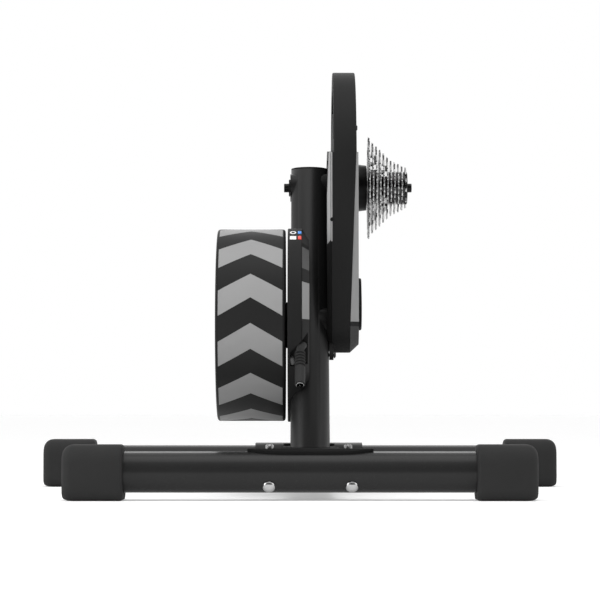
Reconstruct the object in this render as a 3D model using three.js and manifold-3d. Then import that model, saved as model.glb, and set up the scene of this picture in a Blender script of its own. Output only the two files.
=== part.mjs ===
// Direct drive bike trainer: +X is the drive side, +Y is forward, +Z is up, lengths in millimetres.
// The origin is on the floor, midway between the front and the rear leg.
import * as THREE from 'three';
import { mergeVertices } from 'three/addons/utils/BufferGeometryUtils.js';
import Module from 'manifold-3d';

const wasm = await Module();
wasm.setup();

// Clearances
const seatGap = 0.3;
const runGap = 0.3;
const overrun = 5;

// Number of flats round a full turn
const flats = {
  large: 32, rim: 20, medium: 18, inner: 12, small: 10, tiny: 8, housingBig: 26, housingSmall: 6,
  beltBig: 24, beltSmall: 7, footCorner: 2, saddleEdge: 6, panelEnd: 6, lug: 4, board: 8,
};

// Where the two shafts lie
const flywheelY = -65.2;
const flywheelZ = 184;
const shaftDistance = 200;
const leanDegrees = 36.49;

// The faces that take the bike's dropouts
const dropoutWidth = 135;
const leftSeatX = -12.7;

const leg = { diameter: 41.8, wall: 2.5, trackY: 222.6, axisZ: 28.7, rearHalfSpan: 240.9, frontHalfSpan: 307.6 };
const foot = {
  length: 61.7, height: 56.9, depth: 58, topRadius: 19, bottomRadius: 12,
  outerRadius: 11, innerRadius: 4, endWall: 8, bottomInsetShare: 0.4,
};
const post = {
  diameter: 41.3, wall: 3, centreX: 10.6, topZ: 366.5, footZ: 53.1,
  hubTubeDiameter: 31.4, hubTubeLeftX: -11, hubTubeRightX: 35.6,
  shaftTubeDiameter: 37, shaftTubeRightX: 35.4, spigotDiameter: 50, spigotLeftX: -62, spigotRightX: -10.4,
};
const postCap = { rim: 1.6, plug: 5, plugWall: 2, overlap: 0.2 };
const saddle = {
  thickness: 2.8, width: 128.5, tongueWidth: 60, rearTongue: 97, frontTongue: 70,
  innerReach: 21.5, outerReachMiddle: 15.2, outerReachEnd: 5,
};
const spine = { width: 60, height: 28, wall: 3 };
const legBolt = {
  diameter: 6, headDiameter: 13.4, headHeight: 4.6, tilt: 42, rearSpacing: 84, frontSpacing: 94,
  nutFlats: 10, nutHeight: 5, endLength: 2.6,
};

const bearing = { bore: 15, diameter: 32, width: 9 };
const axle = { bore: 10.6 };
const endCap = {
  flangeDiameter: 19.3, flange: 1.6, stubDiameter: 10, leftStub: 5.5, rightStub: 4.9, spigot: 12, skewerHole: 5.5,
};

const housing = {
  ringRadius: 131, ringThickness: 20, toeRadius: 30, wall: 3.5, leftX: 33.5, rightX: 61.8, web: 2.5, ringLeftX: 36.7,
  drumRadius: 84, drumWall: 3, edgeChamfer: 1.5, coverLineRearZ: 372, coverLineRearY: -75, coverLineSlope: 0.112,
  handHoleMargin: 14,
};
// The slanted joint between the housing and its right cover, as two points of its rear edge
const joint = { highX: 61.1, lowX: 54.1, lowZ: 188 };
const leftCover = { leftX: 29.5, bevel: 4, topX: 31.2, slope: 0.036 };
const rightCover = { rightX: 63.6, topBevel: 2, toeBevel: 9, skin: 2.6, rim: 6, toeRim: 12, lid: 2.4 };
const accessPanel = { thickness: 3.2, radius: 22, lowZ: 20.9, highZ: 37.8, edge: 1.4 };
const housingLug = { radius: 5.5, reach: 11, screwDiameter: 4, headDiameter: 7, headHeight: 2.4 };

const largePulley = {
  radius: 77, width: 15, leftX: 40, rim: 6, web: 4, boss: 5, spokeHoles: 6, holeRadius: 15, holeCircle: 48,
};
const smallPulley = { radius: 11, flange: 1.5, lip: 1 };
const belt = { thickness: 2.4, width: 12.5 };
const idler = { radius: 12, along: 62, bolt: 8, armWidth: 14, arm: 3, armReach: 9, head: 1.2, headRadius: 5.6 };
const hub = {
  leftX: 37, neckDiameter: 40, neckRightX: 64, flangeLeftX: 64.5, flangeRightX: 75.5,
  flangeLeftDiameter: 53.8, flangeRightDiameter: 51.3, boreDiameter: 24, coverGap: 1.5,
};

const flywheel = {
  radius: 104, leftX: -89, rightX: -15.5, rim: 12, web: 6, webInset: 8.5, edge: 3,
  hubDiameter: 40, hubLength: 17,
};
const eddyRing = { thickness: 2.4, width: 34 };
const brakeCore = {
  radius: 88.6, width: 22, lip: 5, grooveWidth: 12, grooveDepth: 22, rightX: -28, boreGap: 0.3,
  holes: 4, holeRadius: 14, holeCircle: 44,
};
const shaft = { leftX: -88.5, rightX: 58.5, nutFlats: 22, nut: 7 };
const brake = {
  radius: 105, leftX: -13.2, rightX: 1.7, coverGap: 0.3, coverRightX: 9.8, coverRadius: 92, wall: 2.8, rimWall: 3,
  edge: 1, coverStep: 1,
  channelWall: 2.4, bossGap: 0.4,
};
const board = {
  inner: 52, outer: 92, thickness: 1.6, fromWall: 3, startDegrees: 128, sweepDegrees: 66, post: 6, middle: 72,
  standoffAngles: [136, 160, 186],
};
const light = { width: 3.8, length: 8.2, depth: 2.4, proud: 0.35, x: -0.4, blueDegrees: 20.7, redDegrees: 29.2 };
const leadPocket = { width: 18.6, height: 34, depth: 13, x: -1.2, fromTop: 107, cornerDrop: 18.5 };
const lead = {
  x: 0, rootX: 2.8, back: 98, down: -26, tilt: 50, collarRadius: 4.4, neckRadius: 3.9, ribRadius: 5.7, ribs: 5,
  ribPitch: 4, ribWidth: 2.4, bodyRadius: 5.4, bodyLength: 24, elbow: 8.5, socketRadius: 4.1, socketWall: 1.1,
  socketLength: 12, socketProud: 0.8, pinRadius: 1.1, pinLength: 9,
};

// Eleven-speed cassette, largest cog first
const chainPitch = 12.7;
const cassette = {
  teeth: [28, 25, 23, 21, 19, 17, 15, 14, 13, 12, 11], clusters: [[0, 2], [3, 5]],
  firstX: 78.2, step: 4.17, cogWidth: 1.7, tipHeight: 1.3, valleyDepth: 4, ringDepth: 8.5,
  arms: 5, armWidth: 7, armLap: 1.5, spacerWall: 1.3,
};
const lockring = {
  radius: 18.4, flange: 0.9, barrel: 6, barrelRadius: 13.4, boreRadius: 10.6, notches: 12, notchDepth: 1.2,
};
const spline = { rootRadius: 15.9, tipRadius: 17.1, count: 9, gap: 0.3, flange: 1.2 };

// One tooth's corners as shares of the pitch and of the height
const toothShares = [[-0.33, 0], [0, 1], [0.33, 0]];
const splineShares = [[-0.225, 0], [-0.225, 1], [0.225, 1], [0.225, 0]];
const notchShares = [[0.125, 0], [0.375, 0], [0.625, 1], [0.875, 1]];

// Colours
const finishes = {
  steelPaint: new THREE.MeshStandardMaterial({ color: 0x2b2b2c, roughness: 0.45, metalness: 0.1 }),
  footRubber: new THREE.MeshStandardMaterial({ color: 0x2f2f30, roughness: 0.8 }),
  housingPlastic: new THREE.MeshStandardMaterial({ color: 0x29292a, roughness: 0.55 }),
  greyPlastic: new THREE.MeshStandardMaterial({ color: 0x828282, roughness: 0.5 }),
  flywheelPaint: new THREE.MeshStandardMaterial({ color: 0x929292, roughness: 0.45, metalness: 0.2 }),
  steel: new THREE.MeshStandardMaterial({ color: 0xb9babb, roughness: 0.3, metalness: 1 }),
  darkSteel: new THREE.MeshStandardMaterial({ color: 0x3a3a3b, roughness: 0.4, metalness: 0.8 }),
  aluminium: new THREE.MeshStandardMaterial({ color: 0x9b9c9e, roughness: 0.35, metalness: 1 }),
  rubber: new THREE.MeshStandardMaterial({ color: 0x1f1f20, roughness: 0.7 }),
  copper: new THREE.MeshStandardMaterial({ color: 0xb06a3c, roughness: 0.4, metalness: 1 }),
  circuit: new THREE.MeshStandardMaterial({ color: 0x1c4a2c, roughness: 0.6 }),
  blueLens: new THREE.MeshStandardMaterial({ color: 0x2f86d8, roughness: 0.3 }),
  redLens: new THREE.MeshStandardMaterial({ color: 0xd8402c, roughness: 0.3 }),
};

const radians = THREE.MathUtils.degToRad;
const lean = radians(leanDegrees);
const fullTurn = 2 * Math.PI;

// Joining and cutting
function solidOf(geometry) {
  const bare = geometry.clone();
  bare.deleteAttribute('normal');
  bare.deleteAttribute('uv');
  const merged = mergeVertices(bare, 1e-4);
  return new wasm.Manifold(new wasm.Mesh({
    numProp: 3,
    vertProperties: new Float32Array(merged.attributes.position.array),
    triVerts: new Uint32Array(merged.index.array),
  }));
}

function geometryOf(solid) {
  const mesh = solid.getMesh();
  const geometry = new THREE.BufferGeometry();
  geometry.setAttribute('position', new THREE.Float32BufferAttribute(mesh.vertProperties, 3));
  geometry.setIndex(Array.from(mesh.triVerts));
  return geometry;
}

const cut = (body, ...tools) => geometryOf(tools.reduce((left, tool) => left.subtract(solidOf(tool)), solidOf(body)));
const join = (body, ...others) => geometryOf(others.reduce((left, other) => left.add(solidOf(other)), solidOf(body)));
const common = (body, ...others) => (
  geometryOf(others.reduce((left, other) => left.intersect(solidOf(other)), solidOf(body))));

// Turns a closed mesh inside out when its faces point inwards
function facingOut(geometry) {
  const place = geometry.attributes.position;
  const index = geometry.index.array;
  const corners = [new THREE.Vector3(), new THREE.Vector3(), new THREE.Vector3()];
  let volume = 0;
  for (let i = 0; i < index.length; i += 3) {
    corners.forEach((corner, k) => corner.fromBufferAttribute(place, index[i + k]));
    volume += corners[0].dot(corners[1].cross(corners[2]));
  }
  if (volume < 0) {
    for (let i = 0; i < index.length; i += 3) {
      [index[i], index[i + 1]] = [index[i + 1], index[i]];
    }
  }
  return geometry;
}

// A closed skin through rings of equally many points
function loft(rings) {
  const count = rings[0].length;
  const points = rings.flat();
  const faces = [];
  for (let r = 0; r + 1 < rings.length; r += 1) {
    for (let i = 0; i < count; i += 1) {
      const j = (i + 1) % count;
      const [a, b, c, d] = [r * count + i, r * count + j, (r + 1) * count + j, (r + 1) * count + i];
      faces.push(a, b, c, a, c, d);
    }
  }
  const cap = (first, flip) => {
    const middle = new THREE.Vector3();
    for (let i = 0; i < count; i += 1) {
      middle.addScaledVector(points[first + i], 1 / count);
    }
    points.push(middle);
    for (let i = 0; i < count; i += 1) {
      const pair = [first + i, first + (i + 1) % count];
      faces.push(points.length - 1, pair[flip ? 1 : 0], pair[flip ? 0 : 1]);
    }
  };
  cap(0, true);
  cap((rings.length - 1) * count, false);
  const geometry = new THREE.BufferGeometry();
  geometry.setAttribute('position', new THREE.Float32BufferAttribute(points.flatMap((p) => [p.x, p.y, p.z]), 3));
  geometry.setIndex(faces);
  return facingOut(geometry);
}

// A closed turned shape round the X axis, from [x, radius] corners that start and end on the axis
function turned(profile, count) {
  const corners = [[profile[0][0], 0], ...profile, [profile.at(-1)[0], 0]];
  const geometry = new THREE.LatheGeometry(corners.map(([x, radius]) => new THREE.Vector2(radius, x)), count);
  geometry.rotateZ(-Math.PI / 2);
  geometry.deleteAttribute('normal');
  geometry.deleteAttribute('uv');
  return facingOut(mergeVertices(geometry, 1e-4));
}

const disc = (radius, leftX, rightX, count) => turned([[leftX, radius], [rightX, radius]], count);

// An outline in the Y-Z plane, drawn out along X
function plate(shape, leftX, rightX) {
  const geometry = new THREE.ExtrudeGeometry(shape, { depth: rightX - leftX, bevelEnabled: false, curveSegments: 1 });
  const axes = [new THREE.Vector3(0, 1, 0), new THREE.Vector3(0, 0, 1), new THREE.Vector3(1, 0, 0)];
  return geometry.applyMatrix4(new THREE.Matrix4().makeBasis(...axes)).translate(leftX, 0, 0);
}

const shapeOf = (points) => new THREE.Shape(points.map(([y, z]) => new THREE.Vector2(y, z)));
const box = (x, y, z) => new THREE.BoxGeometry(x, y, z);

function arc(centre, radius, from, to, steps) {
  return Array.from({ length: steps + 1 }, (_, i) => {
    const angle = from + (to - from) * (i / steps);
    return [centre[0] + radius * Math.cos(angle), centre[1] + radius * Math.sin(angle)];
  });
}

// A six-sided nut round the X axis
const hexagon = (acrossFlats, leftX, rightX) => disc(acrossFlats / Math.sqrt(3), leftX, rightX, 6);

const trainer = new THREE.Group();

// The post's own frame: origin on the flywheel shaft, +Z up along the post
const leaning = new THREE.Group();
leaning.position.set(0, flywheelY, flywheelZ);
leaning.rotation.x = -lean;
trainer.add(leaning);

// The frame of the axle, at the top of the post
const axleLine = new THREE.Group();
axleLine.position.z = shaftDistance;
leaning.add(axleLine);

// Brings a shape that is drawn in the upright frame into the post's frame
const intoLeaning = (geometry) => geometry.translate(0, -flywheelY, -flywheelZ).rotateX(lean);

function leaningPoint(y, z) {
  const point = new THREE.Vector3(0, y - flywheelY, z - flywheelZ).applyAxisAngle(new THREE.Vector3(1, 0, 0), lean);
  return [point.y, point.z];
}

function add(group, name, geometry, material) {
  const mesh = new THREE.Mesh(geometry, material);
  mesh.name = name;
  group.add(mesh);
  return mesh;
}

// Legs, feet and their bolts
const legRadius = leg.diameter / 2;
const saddleInside = legRadius + seatGap;
const saddleOutside = saddleInside + saddle.thickness;

// Turns a shape round the X axis so that it runs through a leg from its outer side up to its inner side
const alongBolt = (geometry) => geometry.rotateZ(Math.PI / 2).rotateX(radians(legBolt.tilt));
const boltHole = (x) => {
  const radius = legBolt.diameter / 2 + seatGap;
  return alongBolt(disc(radius, -leg.diameter, leg.diameter, flats.tiny)).translate(x, 0, 0);
};

function roundedSection(half, low, high, lowRadius, highRadius) {
  const corners = [
    [half - highRadius, high - highRadius, highRadius, 0], [highRadius - half, high - highRadius, highRadius, 1],
    [lowRadius - half, low + lowRadius, lowRadius, 2], [half - lowRadius, low + lowRadius, lowRadius, 3],
  ];
  return corners.flatMap(([y, z, radius, quarter]) => (
    arc([y, z], radius, quarter * Math.PI / 2, (quarter + 1) * Math.PI / 2, flats.footCorner)));
}

function footGeometry() {
  const ring = (x, inset) => roundedSection(
    foot.depth / 2 - inset,
    inset * foot.bottomInsetShare,
    foot.height - inset,
    foot.bottomRadius - inset * foot.bottomInsetShare,
    foot.topRadius - inset,
  ).map(([y, z]) => new THREE.Vector3(x, y, z));
  const edge = (radius, steps, place) => Array.from({ length: steps + 1 }, (_, i) => {
    const angle = (i / steps) * Math.PI / 2;
    return [place(radius * (1 - Math.cos(angle))), radius * (1 - Math.sin(angle))];
  });
  const inner = edge(foot.innerRadius, 2, (depth) => depth);
  const outer = edge(foot.outerRadius, 3, (depth) => foot.length - depth).reverse();
  const body = loft([...inner, ...outer].map(([x, inset]) => ring(x, inset)));
  const bore = disc(saddleInside, -overrun, foot.length - foot.endWall, flats.medium);
  return cut(body, bore.translate(0, 0, leg.axisZ));
}

function saddleGeometry(outerMiddle, outerEnd, tongueLength, boltSpacing) {
  const half = saddle.width / 2;
  const outerEdge = Array.from({ length: flats.saddleEdge + 1 }, (_, i) => {
    const across = 2 * (i / flats.saddleEdge) - 1;
    return new THREE.Vector2(across * half, -(outerEnd + (outerMiddle - outerEnd) * (1 - across * across)));
  });
  const plan = new THREE.Shape([
    ...outerEdge, new THREE.Vector2(half, saddle.innerReach), new THREE.Vector2(-half, saddle.innerReach),
  ]);
  const prism = new THREE.ExtrudeGeometry(plan, { depth: leg.diameter, bevelEnabled: false });
  const shell = cut(
    disc(saddleOutside, -half, half, flats.large),
    disc(saddleInside, -half - overrun, half + overrun, flats.large),
  );
  const tongue = box(saddle.tongueWidth, tongueLength, saddle.thickness);
  tongue.translate(0, tongueLength / 2, saddleInside + saddle.thickness / 2);
  return cut(join(common(shell, prism), tongue), boltHole(-boltSpacing / 2), boltHole(boltSpacing / 2));
}

function boltGeometry() {
  const radius = legBolt.diameter / 2;
  const headRadius = legBolt.headDiameter / 2;
  const seat = -legRadius - seatGap;
  const dome = arc([0, 0], 1, 0, Math.PI / 2, 3).map(([rise, out]) => (
    [seat - legBolt.headHeight * rise, headRadius * out]));
  const tip = saddleOutside + seatGap + legBolt.nutHeight + legBolt.endLength;
  return turned([...dome, [seat, radius], [tip - radius / 2, radius], [tip, radius / 2]], flats.small);
}

function nutGeometry() {
  const seat = saddleOutside + seatGap;
  const hole = disc(legBolt.diameter / 2 + seatGap, 0, leg.diameter, flats.tiny);
  return cut(hexagon(legBolt.nutFlats, seat, seat + legBolt.nutHeight), hole);
}

const legKinds = [
  { name: 'rear', y: -leg.trackY, turn: 0, halfSpan: leg.rearHalfSpan, spacing: legBolt.rearSpacing,
    middle: saddle.outerReachMiddle, end: saddle.outerReachEnd, tongue: saddle.rearTongue },
  { name: 'front', y: leg.trackY, turn: Math.PI, halfSpan: leg.frontHalfSpan, spacing: legBolt.frontSpacing,
    middle: saddle.outerReachMiddle, end: saddle.outerReachMiddle, tongue: saddle.frontTongue },
];

for (const kind of legKinds) {
  // Each leg's own frame: origin at mid leg on its axis, +Y towards the middle of the trainer
  const group = new THREE.Group();
  group.position.set(0, kind.y, leg.axisZ);
  group.rotation.z = kind.turn;
  trainer.add(group);
  const middleX = kind.turn === 0 ? post.centreX : -post.centreX;
  const half = kind.halfSpan - foot.endWall - seatGap;
  const tube = cut(
    disc(legRadius, -half, half, flats.medium),
    disc(legRadius - leg.wall, -half - overrun, half + overrun, flats.inner),
    boltHole(middleX - kind.spacing / 2),
    boltHole(middleX + kind.spacing / 2),
  );
  add(group, `${kind.name}_leg_tube`, tube, finishes.steelPaint);
  add(group, `${kind.name}_saddle`, saddleGeometry(kind.middle, kind.end, kind.tongue, kind.spacing), finishes.steelPaint)
    .position.x = middleX;
  for (const side of [-1, 1]) {
    const sideName = (side > 0) === (kind.turn === 0) ? 'right' : 'left';
    const footMesh = add(group, `${kind.name}_foot_${sideName}`, footGeometry(), finishes.footRubber);
    footMesh.rotation.z = side > 0 ? 0 : Math.PI;
    footMesh.position.set(side * (kind.halfSpan - foot.length), 0, -leg.axisZ);
    const boltX = middleX + side * kind.spacing / 2;
    add(group, `${kind.name}_leg_bolt_${sideName}`, alongBolt(boltGeometry()), finishes.steel).position.x = boltX;
    add(group, `${kind.name}_leg_nut_${sideName}`, alongBolt(nutGeometry()), finishes.steel).position.x = boltX;
  }
}

// The spine that joins the two saddles from below, coped round the legs
function spineGeometry() {
  const length = 2 * leg.trackY;
  const inside = box(spine.width - 2 * spine.wall, length + overrun, spine.height - 2 * spine.wall);
  const cope = (y) => (
    disc(saddleOutside + seatGap, -spine.width, spine.width, flats.large).translate(0, y, spine.height / 2 - legRadius));
  return cut(box(spine.width, length, spine.height), inside, cope(-leg.trackY), cope(leg.trackY));
}

add(trainer, 'base_spine', spineGeometry(), finishes.steelPaint)
  .position.set(post.centreX, 0, leg.axisZ + legRadius - spine.height / 2);

// Main post with its two cross tubes, drawn in its own leaning frame
const postRadius = post.diameter / 2;
const postFootZ = leg.axisZ + saddleOutside + seatGap;
const farEnd = post.topZ + leg.diameter;
const alongPost = (radius, count) => (
  disc(radius, -farEnd, farEnd, count).rotateY(-Math.PI / 2).translate(post.centreX, 0, 0));
const slab = (lowZ, highZ) => intoLeaning(
  box(farEnd, farEnd * 2, highZ - lowZ).translate(post.centreX, 0, (lowZ + highZ) / 2));
const lugCentre = -(housing.toeRadius + housingLug.reach);

function mainPostGeometry() {
  const between = slab(postFootZ, post.topZ);
  const skin = cut(alongPost(postRadius, flats.rim), alongPost(postRadius - post.wall, flats.inner));
  const hubTube = disc(post.hubTubeDiameter / 2, post.hubTubeLeftX, post.hubTubeRightX, flats.medium);
  const shaftTube = turned([
    [post.spigotLeftX, post.spigotDiameter / 2], [post.spigotRightX, post.spigotDiameter / 2],
    [post.spigotRightX, post.shaftTubeDiameter / 2], [post.shaftTubeRightX, post.shaftTubeDiameter / 2],
  ], flats.medium);
  const seatRadius = bearing.diameter / 2 + seatGap;
  const innerRadius = bearing.diameter / 2 - post.wall;
  const seatDepth = bearing.width + seatGap;
  const shaftBore = turned([
    [post.spigotLeftX - overrun, seatRadius], [post.spigotLeftX + seatDepth, seatRadius],
    [post.spigotLeftX + seatDepth, innerRadius], [post.shaftTubeRightX - seatDepth, innerRadius],
    [post.shaftTubeRightX - seatDepth, seatRadius], [post.shaftTubeRightX + overrun, seatRadius],
  ], flats.medium);
  const axleBore = disc(bearing.bore / 2 + seatGap, post.hubTubeLeftX - overrun, post.hubTubeRightX + overrun, flats.medium);
  const lugHole = disc(housingLug.screwDiameter / 2 + seatGap, post.centreX, post.centreX + post.diameter, flats.tiny);
  return cut(
    join(common(skin, between), hubTube.translate(0, 0, shaftDistance), shaftTube),
    shaftBore,
    axleBore.translate(0, 0, shaftDistance),
    lugHole.translate(0, 0, lugCentre),
  );
}

add(leaning, 'main_post', mainPostGeometry(), finishes.steelPaint);

function postCapGeometry() {
  const lid = common(alongPost(postRadius, flats.rim), slab(post.topZ + seatGap, post.topZ + seatGap + postCap.rim));
  const plugRadius = postRadius - post.wall - seatGap;
  const plug = common(
    alongPost(plugRadius, flats.inner),
    slab(post.topZ - postCap.plug, post.topZ + seatGap + postCap.overlap),
  );
  const cavity = common(
    alongPost(plugRadius - postCap.plugWall, flats.inner),
    slab(post.topZ - postCap.plug - overrun, post.topZ),
  );
  return cut(join(lid, plug), cavity);
}

add(leaning, 'post_cap', postCapGeometry(), finishes.housingPlastic);

// Flywheel with its shaft, bearings and eddy-current brake, in the post's frame
function flywheelGeometry() {
  const edge = (x, towards) => arc([0, 0], flywheel.edge, 0, Math.PI / 2, 2).map(([out, along]) => (
    [x + towards * (flywheel.edge - along), flywheel.radius - flywheel.edge + out]));
  const webLeft = flywheel.leftX + flywheel.webInset;
  const webRight = webLeft + flywheel.web;
  const inner = flywheel.radius - flywheel.rim;
  const body = turned([
    [flywheel.leftX, inner],
    ...edge(flywheel.leftX, 1).reverse(),
    ...edge(flywheel.rightX, -1),
    [flywheel.rightX, inner],
  ], flats.large);
  const leftHollow = disc(inner, flywheel.leftX - overrun, webLeft, flats.large);
  const rightHollow = cut(
    disc(inner, webRight, flywheel.rightX + overrun, flats.large),
    disc(flywheel.hubDiameter / 2, webLeft, webLeft + flywheel.hubLength, flats.inner),
  );
  const bore = disc(bearing.bore / 2 + seatGap, flywheel.leftX, flywheel.rightX, flats.inner);
  return cut(body, leftHollow, rightHollow, bore);
}

add(leaning, 'flywheel', flywheelGeometry(), finishes.flywheelPaint);

const ringTube = (outer, inner, leftX, rightX, count) => cut(
  disc(outer, leftX, rightX, count),
  disc(inner, leftX - overrun, rightX + overrun, count),
);

const liner = flywheel.radius - flywheel.rim - seatGap;
const coreLeftX = brakeCore.rightX - brakeCore.width;
const coreMiddleX = brakeCore.rightX - brakeCore.width / 2;
add(leaning, 'eddy_ring', ringTube(
  liner,
  liner - eddyRing.thickness,
  coreMiddleX - eddyRing.width / 2,
  coreMiddleX + eddyRing.width / 2,
  flats.large,
), finishes.copper);

function brakeCoreGeometry() {
  const groove = ringTube(
    brakeCore.radius + overrun,
    brakeCore.radius - brakeCore.grooveDepth,
    coreMiddleX - brakeCore.grooveWidth / 2,
    coreMiddleX + brakeCore.grooveWidth / 2,
    flats.rim,
  );
  const bore = disc(post.spigotDiameter / 2 + brakeCore.boreGap, coreLeftX - overrun, brakeCore.rightX + overrun, flats.medium);
  const holes = Array.from({ length: brakeCore.holes }, (_, i) => (
    disc(brakeCore.holeRadius, coreLeftX - overrun, brakeCore.rightX + overrun, flats.small)
      .translate(0, 0, brakeCore.holeCircle)
      .rotateX((i * fullTurn) / brakeCore.holes)));
  return cut(disc(brakeCore.radius, coreLeftX, brakeCore.rightX, flats.rim), groove, bore, ...holes);
}

add(leaning, 'brake_core', brakeCoreGeometry(), finishes.darkSteel);
add(leaning, 'brake_coil', ringTube(
  brakeCore.radius - brakeCore.lip - seatGap,
  brakeCore.radius - brakeCore.grooveDepth + seatGap,
  coreMiddleX - brakeCore.grooveWidth / 2 + seatGap,
  coreMiddleX + brakeCore.grooveWidth / 2 - seatGap,
  flats.rim,
), finishes.copper);

const bearingAt = (leftX) => ringTube(
  bearing.diameter / 2,
  bearing.bore / 2 + runGap,
  leftX,
  leftX + bearing.width,
  flats.inner,
);
add(leaning, 'flywheel_bearing_left', bearingAt(post.spigotLeftX), finishes.steel);
add(leaning, 'flywheel_bearing_right', bearingAt(post.shaftTubeRightX - bearing.width), finishes.steel);

const webLeftX = flywheel.leftX + flywheel.webInset;
add(leaning, 'flywheel_shaft', disc(bearing.bore / 2, shaft.leftX, shaft.rightX, flats.inner), finishes.steel);
add(leaning, 'flywheel_nut', cut(
  hexagon(shaft.nutFlats, webLeftX - seatGap - shaft.nut, webLeftX - seatGap),
  disc(bearing.bore / 2 + seatGap, flywheel.leftX - overrun, webLeftX + overrun, flats.inner),
), finishes.steel);

// Belt drive
const beltMiddleX = largePulley.leftX + largePulley.width / 2;
const alpha = (big, small) => Math.asin((big - small) / shaftDistance);

// The outline round both shafts: a large arc round the axle, a small one round the flywheel shaft
function teardrop(big, small, bigSteps, smallSteps) {
  const tilt = alpha(big, small);
  return [
    ...arc([0, shaftDistance], big, -tilt, Math.PI + tilt, bigSteps),
    ...arc([0, 0], small, Math.PI + tilt, fullTurn - tilt, smallSteps),
  ];
}

function beltGeometry() {
  const loop = (offset) => teardrop(
    largePulley.radius + runGap + offset,
    smallPulley.radius + runGap + offset,
    flats.beltBig,
    flats.beltSmall,
  );
  const shape = shapeOf(loop(belt.thickness));
  shape.holes.push(new THREE.Path(loop(0).map(([y, z]) => new THREE.Vector2(y, z))));
  return plate(shape, beltMiddleX - belt.width / 2, beltMiddleX + belt.width / 2);
}

add(leaning, 'drive_belt', beltGeometry(), finishes.rubber);

function smallPulleyGeometry() {
  const half = belt.width / 2 + runGap;
  const rim = smallPulley.radius + belt.thickness + smallPulley.lip;
  const outside = half + smallPulley.flange;
  const body = turned([
    [-outside, rim], [-half, rim], [-half, smallPulley.radius],
    [half, smallPulley.radius], [half, rim], [outside, rim],
  ], flats.inner).translate(beltMiddleX, 0, 0);
  return cut(body, disc(bearing.bore / 2 + seatGap, post.shaftTubeRightX, housing.rightX, flats.inner));
}

add(leaning, 'small_pulley', smallPulleyGeometry(), finishes.darkSteel);

function largePulleyGeometry() {
  const rightX = largePulley.leftX + largePulley.width;
  const ring = ringTube(
    largePulley.radius,
    largePulley.radius - largePulley.rim,
    largePulley.leftX,
    rightX,
    flats.rim,
  );
  const webLeft = beltMiddleX - largePulley.web / 2;
  const web = disc(largePulley.radius - largePulley.rim / 2, webLeft, webLeft + largePulley.web, flats.rim);
  const boss = disc(hub.neckDiameter / 2 + largePulley.boss, largePulley.leftX, rightX, flats.medium);
  const bore = disc(hub.neckDiameter / 2 + seatGap, largePulley.leftX - overrun, rightX + overrun, flats.medium);
  const holes = Array.from({ length: largePulley.spokeHoles }, (_, i) => (
    disc(largePulley.holeRadius, largePulley.leftX - overrun, rightX + overrun, flats.small)
      .translate(0, 0, largePulley.holeCircle)
      .rotateX((i * fullTurn) / largePulley.spokeHoles)));
  return cut(join(ring, web, boss), bore, ...holes);
}

add(axleLine, 'large_pulley', largePulleyGeometry(), finishes.aluminium);

function hubShellGeometry() {
  const seat = bearing.diameter / 2 + runGap;
  const depth = bearing.width + 2 * runGap;
  const body = turned([
    [hub.leftX, hub.neckDiameter / 2], [hub.neckRightX, hub.neckDiameter / 2],
    [hub.flangeLeftX, hub.flangeLeftDiameter / 2], [hub.flangeRightX, hub.flangeRightDiameter / 2],
  ], flats.medium);
  const bore = turned([
    [hub.leftX - overrun, seat], [hub.leftX + depth, seat], [hub.leftX + depth, hub.boreDiameter / 2],
    [hub.flangeRightX - depth, hub.boreDiameter / 2], [hub.flangeRightX - depth, seat],
    [hub.flangeRightX + overrun, seat],
  ], flats.medium);
  return cut(body, bore);
}

add(axleLine, 'hub_shell', hubShellGeometry(), finishes.darkSteel);
add(axleLine, 'hub_bearing_left', bearingAt(hub.leftX + runGap), finishes.steel);
add(axleLine, 'hub_bearing_right', bearingAt(hub.flangeRightX - runGap - bearing.width), finishes.steel);

// The idler that keeps the belt tight, on an arm behind it
const beltTilt = alpha(largePulley.radius, smallPulley.radius);
const outwards = smallPulley.radius + belt.thickness + 2 * runGap + idler.radius;
const idlerPlace = [
  outwards * Math.cos(beltTilt) + idler.along * Math.sin(beltTilt),
  idler.along * Math.cos(beltTilt) - outwards * Math.sin(beltTilt),
];
const idlerArmLeftX = housing.leftX + housing.web + seatGap;
const idlerRightX = beltMiddleX + belt.width / 2;

function stadium(from, to, radius, steps) {
  const angle = Math.atan2(to[1] - from[1], to[0] - from[0]);
  return [
    ...arc(to, radius, angle - Math.PI / 2, angle + Math.PI / 2, steps),
    ...arc(from, radius, angle + Math.PI / 2, angle + (3 * Math.PI) / 2, steps),
  ];
}

const atIdler = (geometry) => geometry.translate(0, ...idlerPlace);
const idlerPivot = [idlerPlace[0] + idler.armReach, idlerPlace[1] + idler.armReach];
const idlerArm = plate(
  shapeOf(stadium(idlerPivot, idlerPlace, idler.armWidth / 2, flats.panelEnd)),
  idlerArmLeftX,
  idlerArmLeftX + idler.arm,
);
const idlerStud = atIdler(turned([
  [idlerArmLeftX, idler.bolt / 2], [idlerRightX + runGap, idler.bolt / 2],
  [idlerRightX + runGap, idler.headRadius], [idlerRightX + runGap + idler.head, idler.headRadius],
], flats.small));
add(leaning, 'idler_bracket', join(idlerArm, idlerStud), finishes.darkSteel);
add(leaning, 'idler_pulley', atIdler(ringTube(
  idler.radius,
  idler.bolt / 2 + runGap,
  idlerArmLeftX + idler.arm + runGap,
  idlerRightX,
  flats.inner,
)), finishes.aluminium);

// Brake housing: a round casing saddled over the post, with a bevelled cover on its right side
const clearOfPost = postRadius + seatGap;
const shaftTubeClear = post.shaftTubeDiameter / 2 + brake.bossGap;
const coverLeftX = brake.rightX + brake.coverGap;

// Stands a shape, drawn at the top of a circle, at an angle towards the rear
const towardsRear = (geometry, degrees) => geometry.rotateX(radians(degrees)).rotateX(lean);

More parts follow.
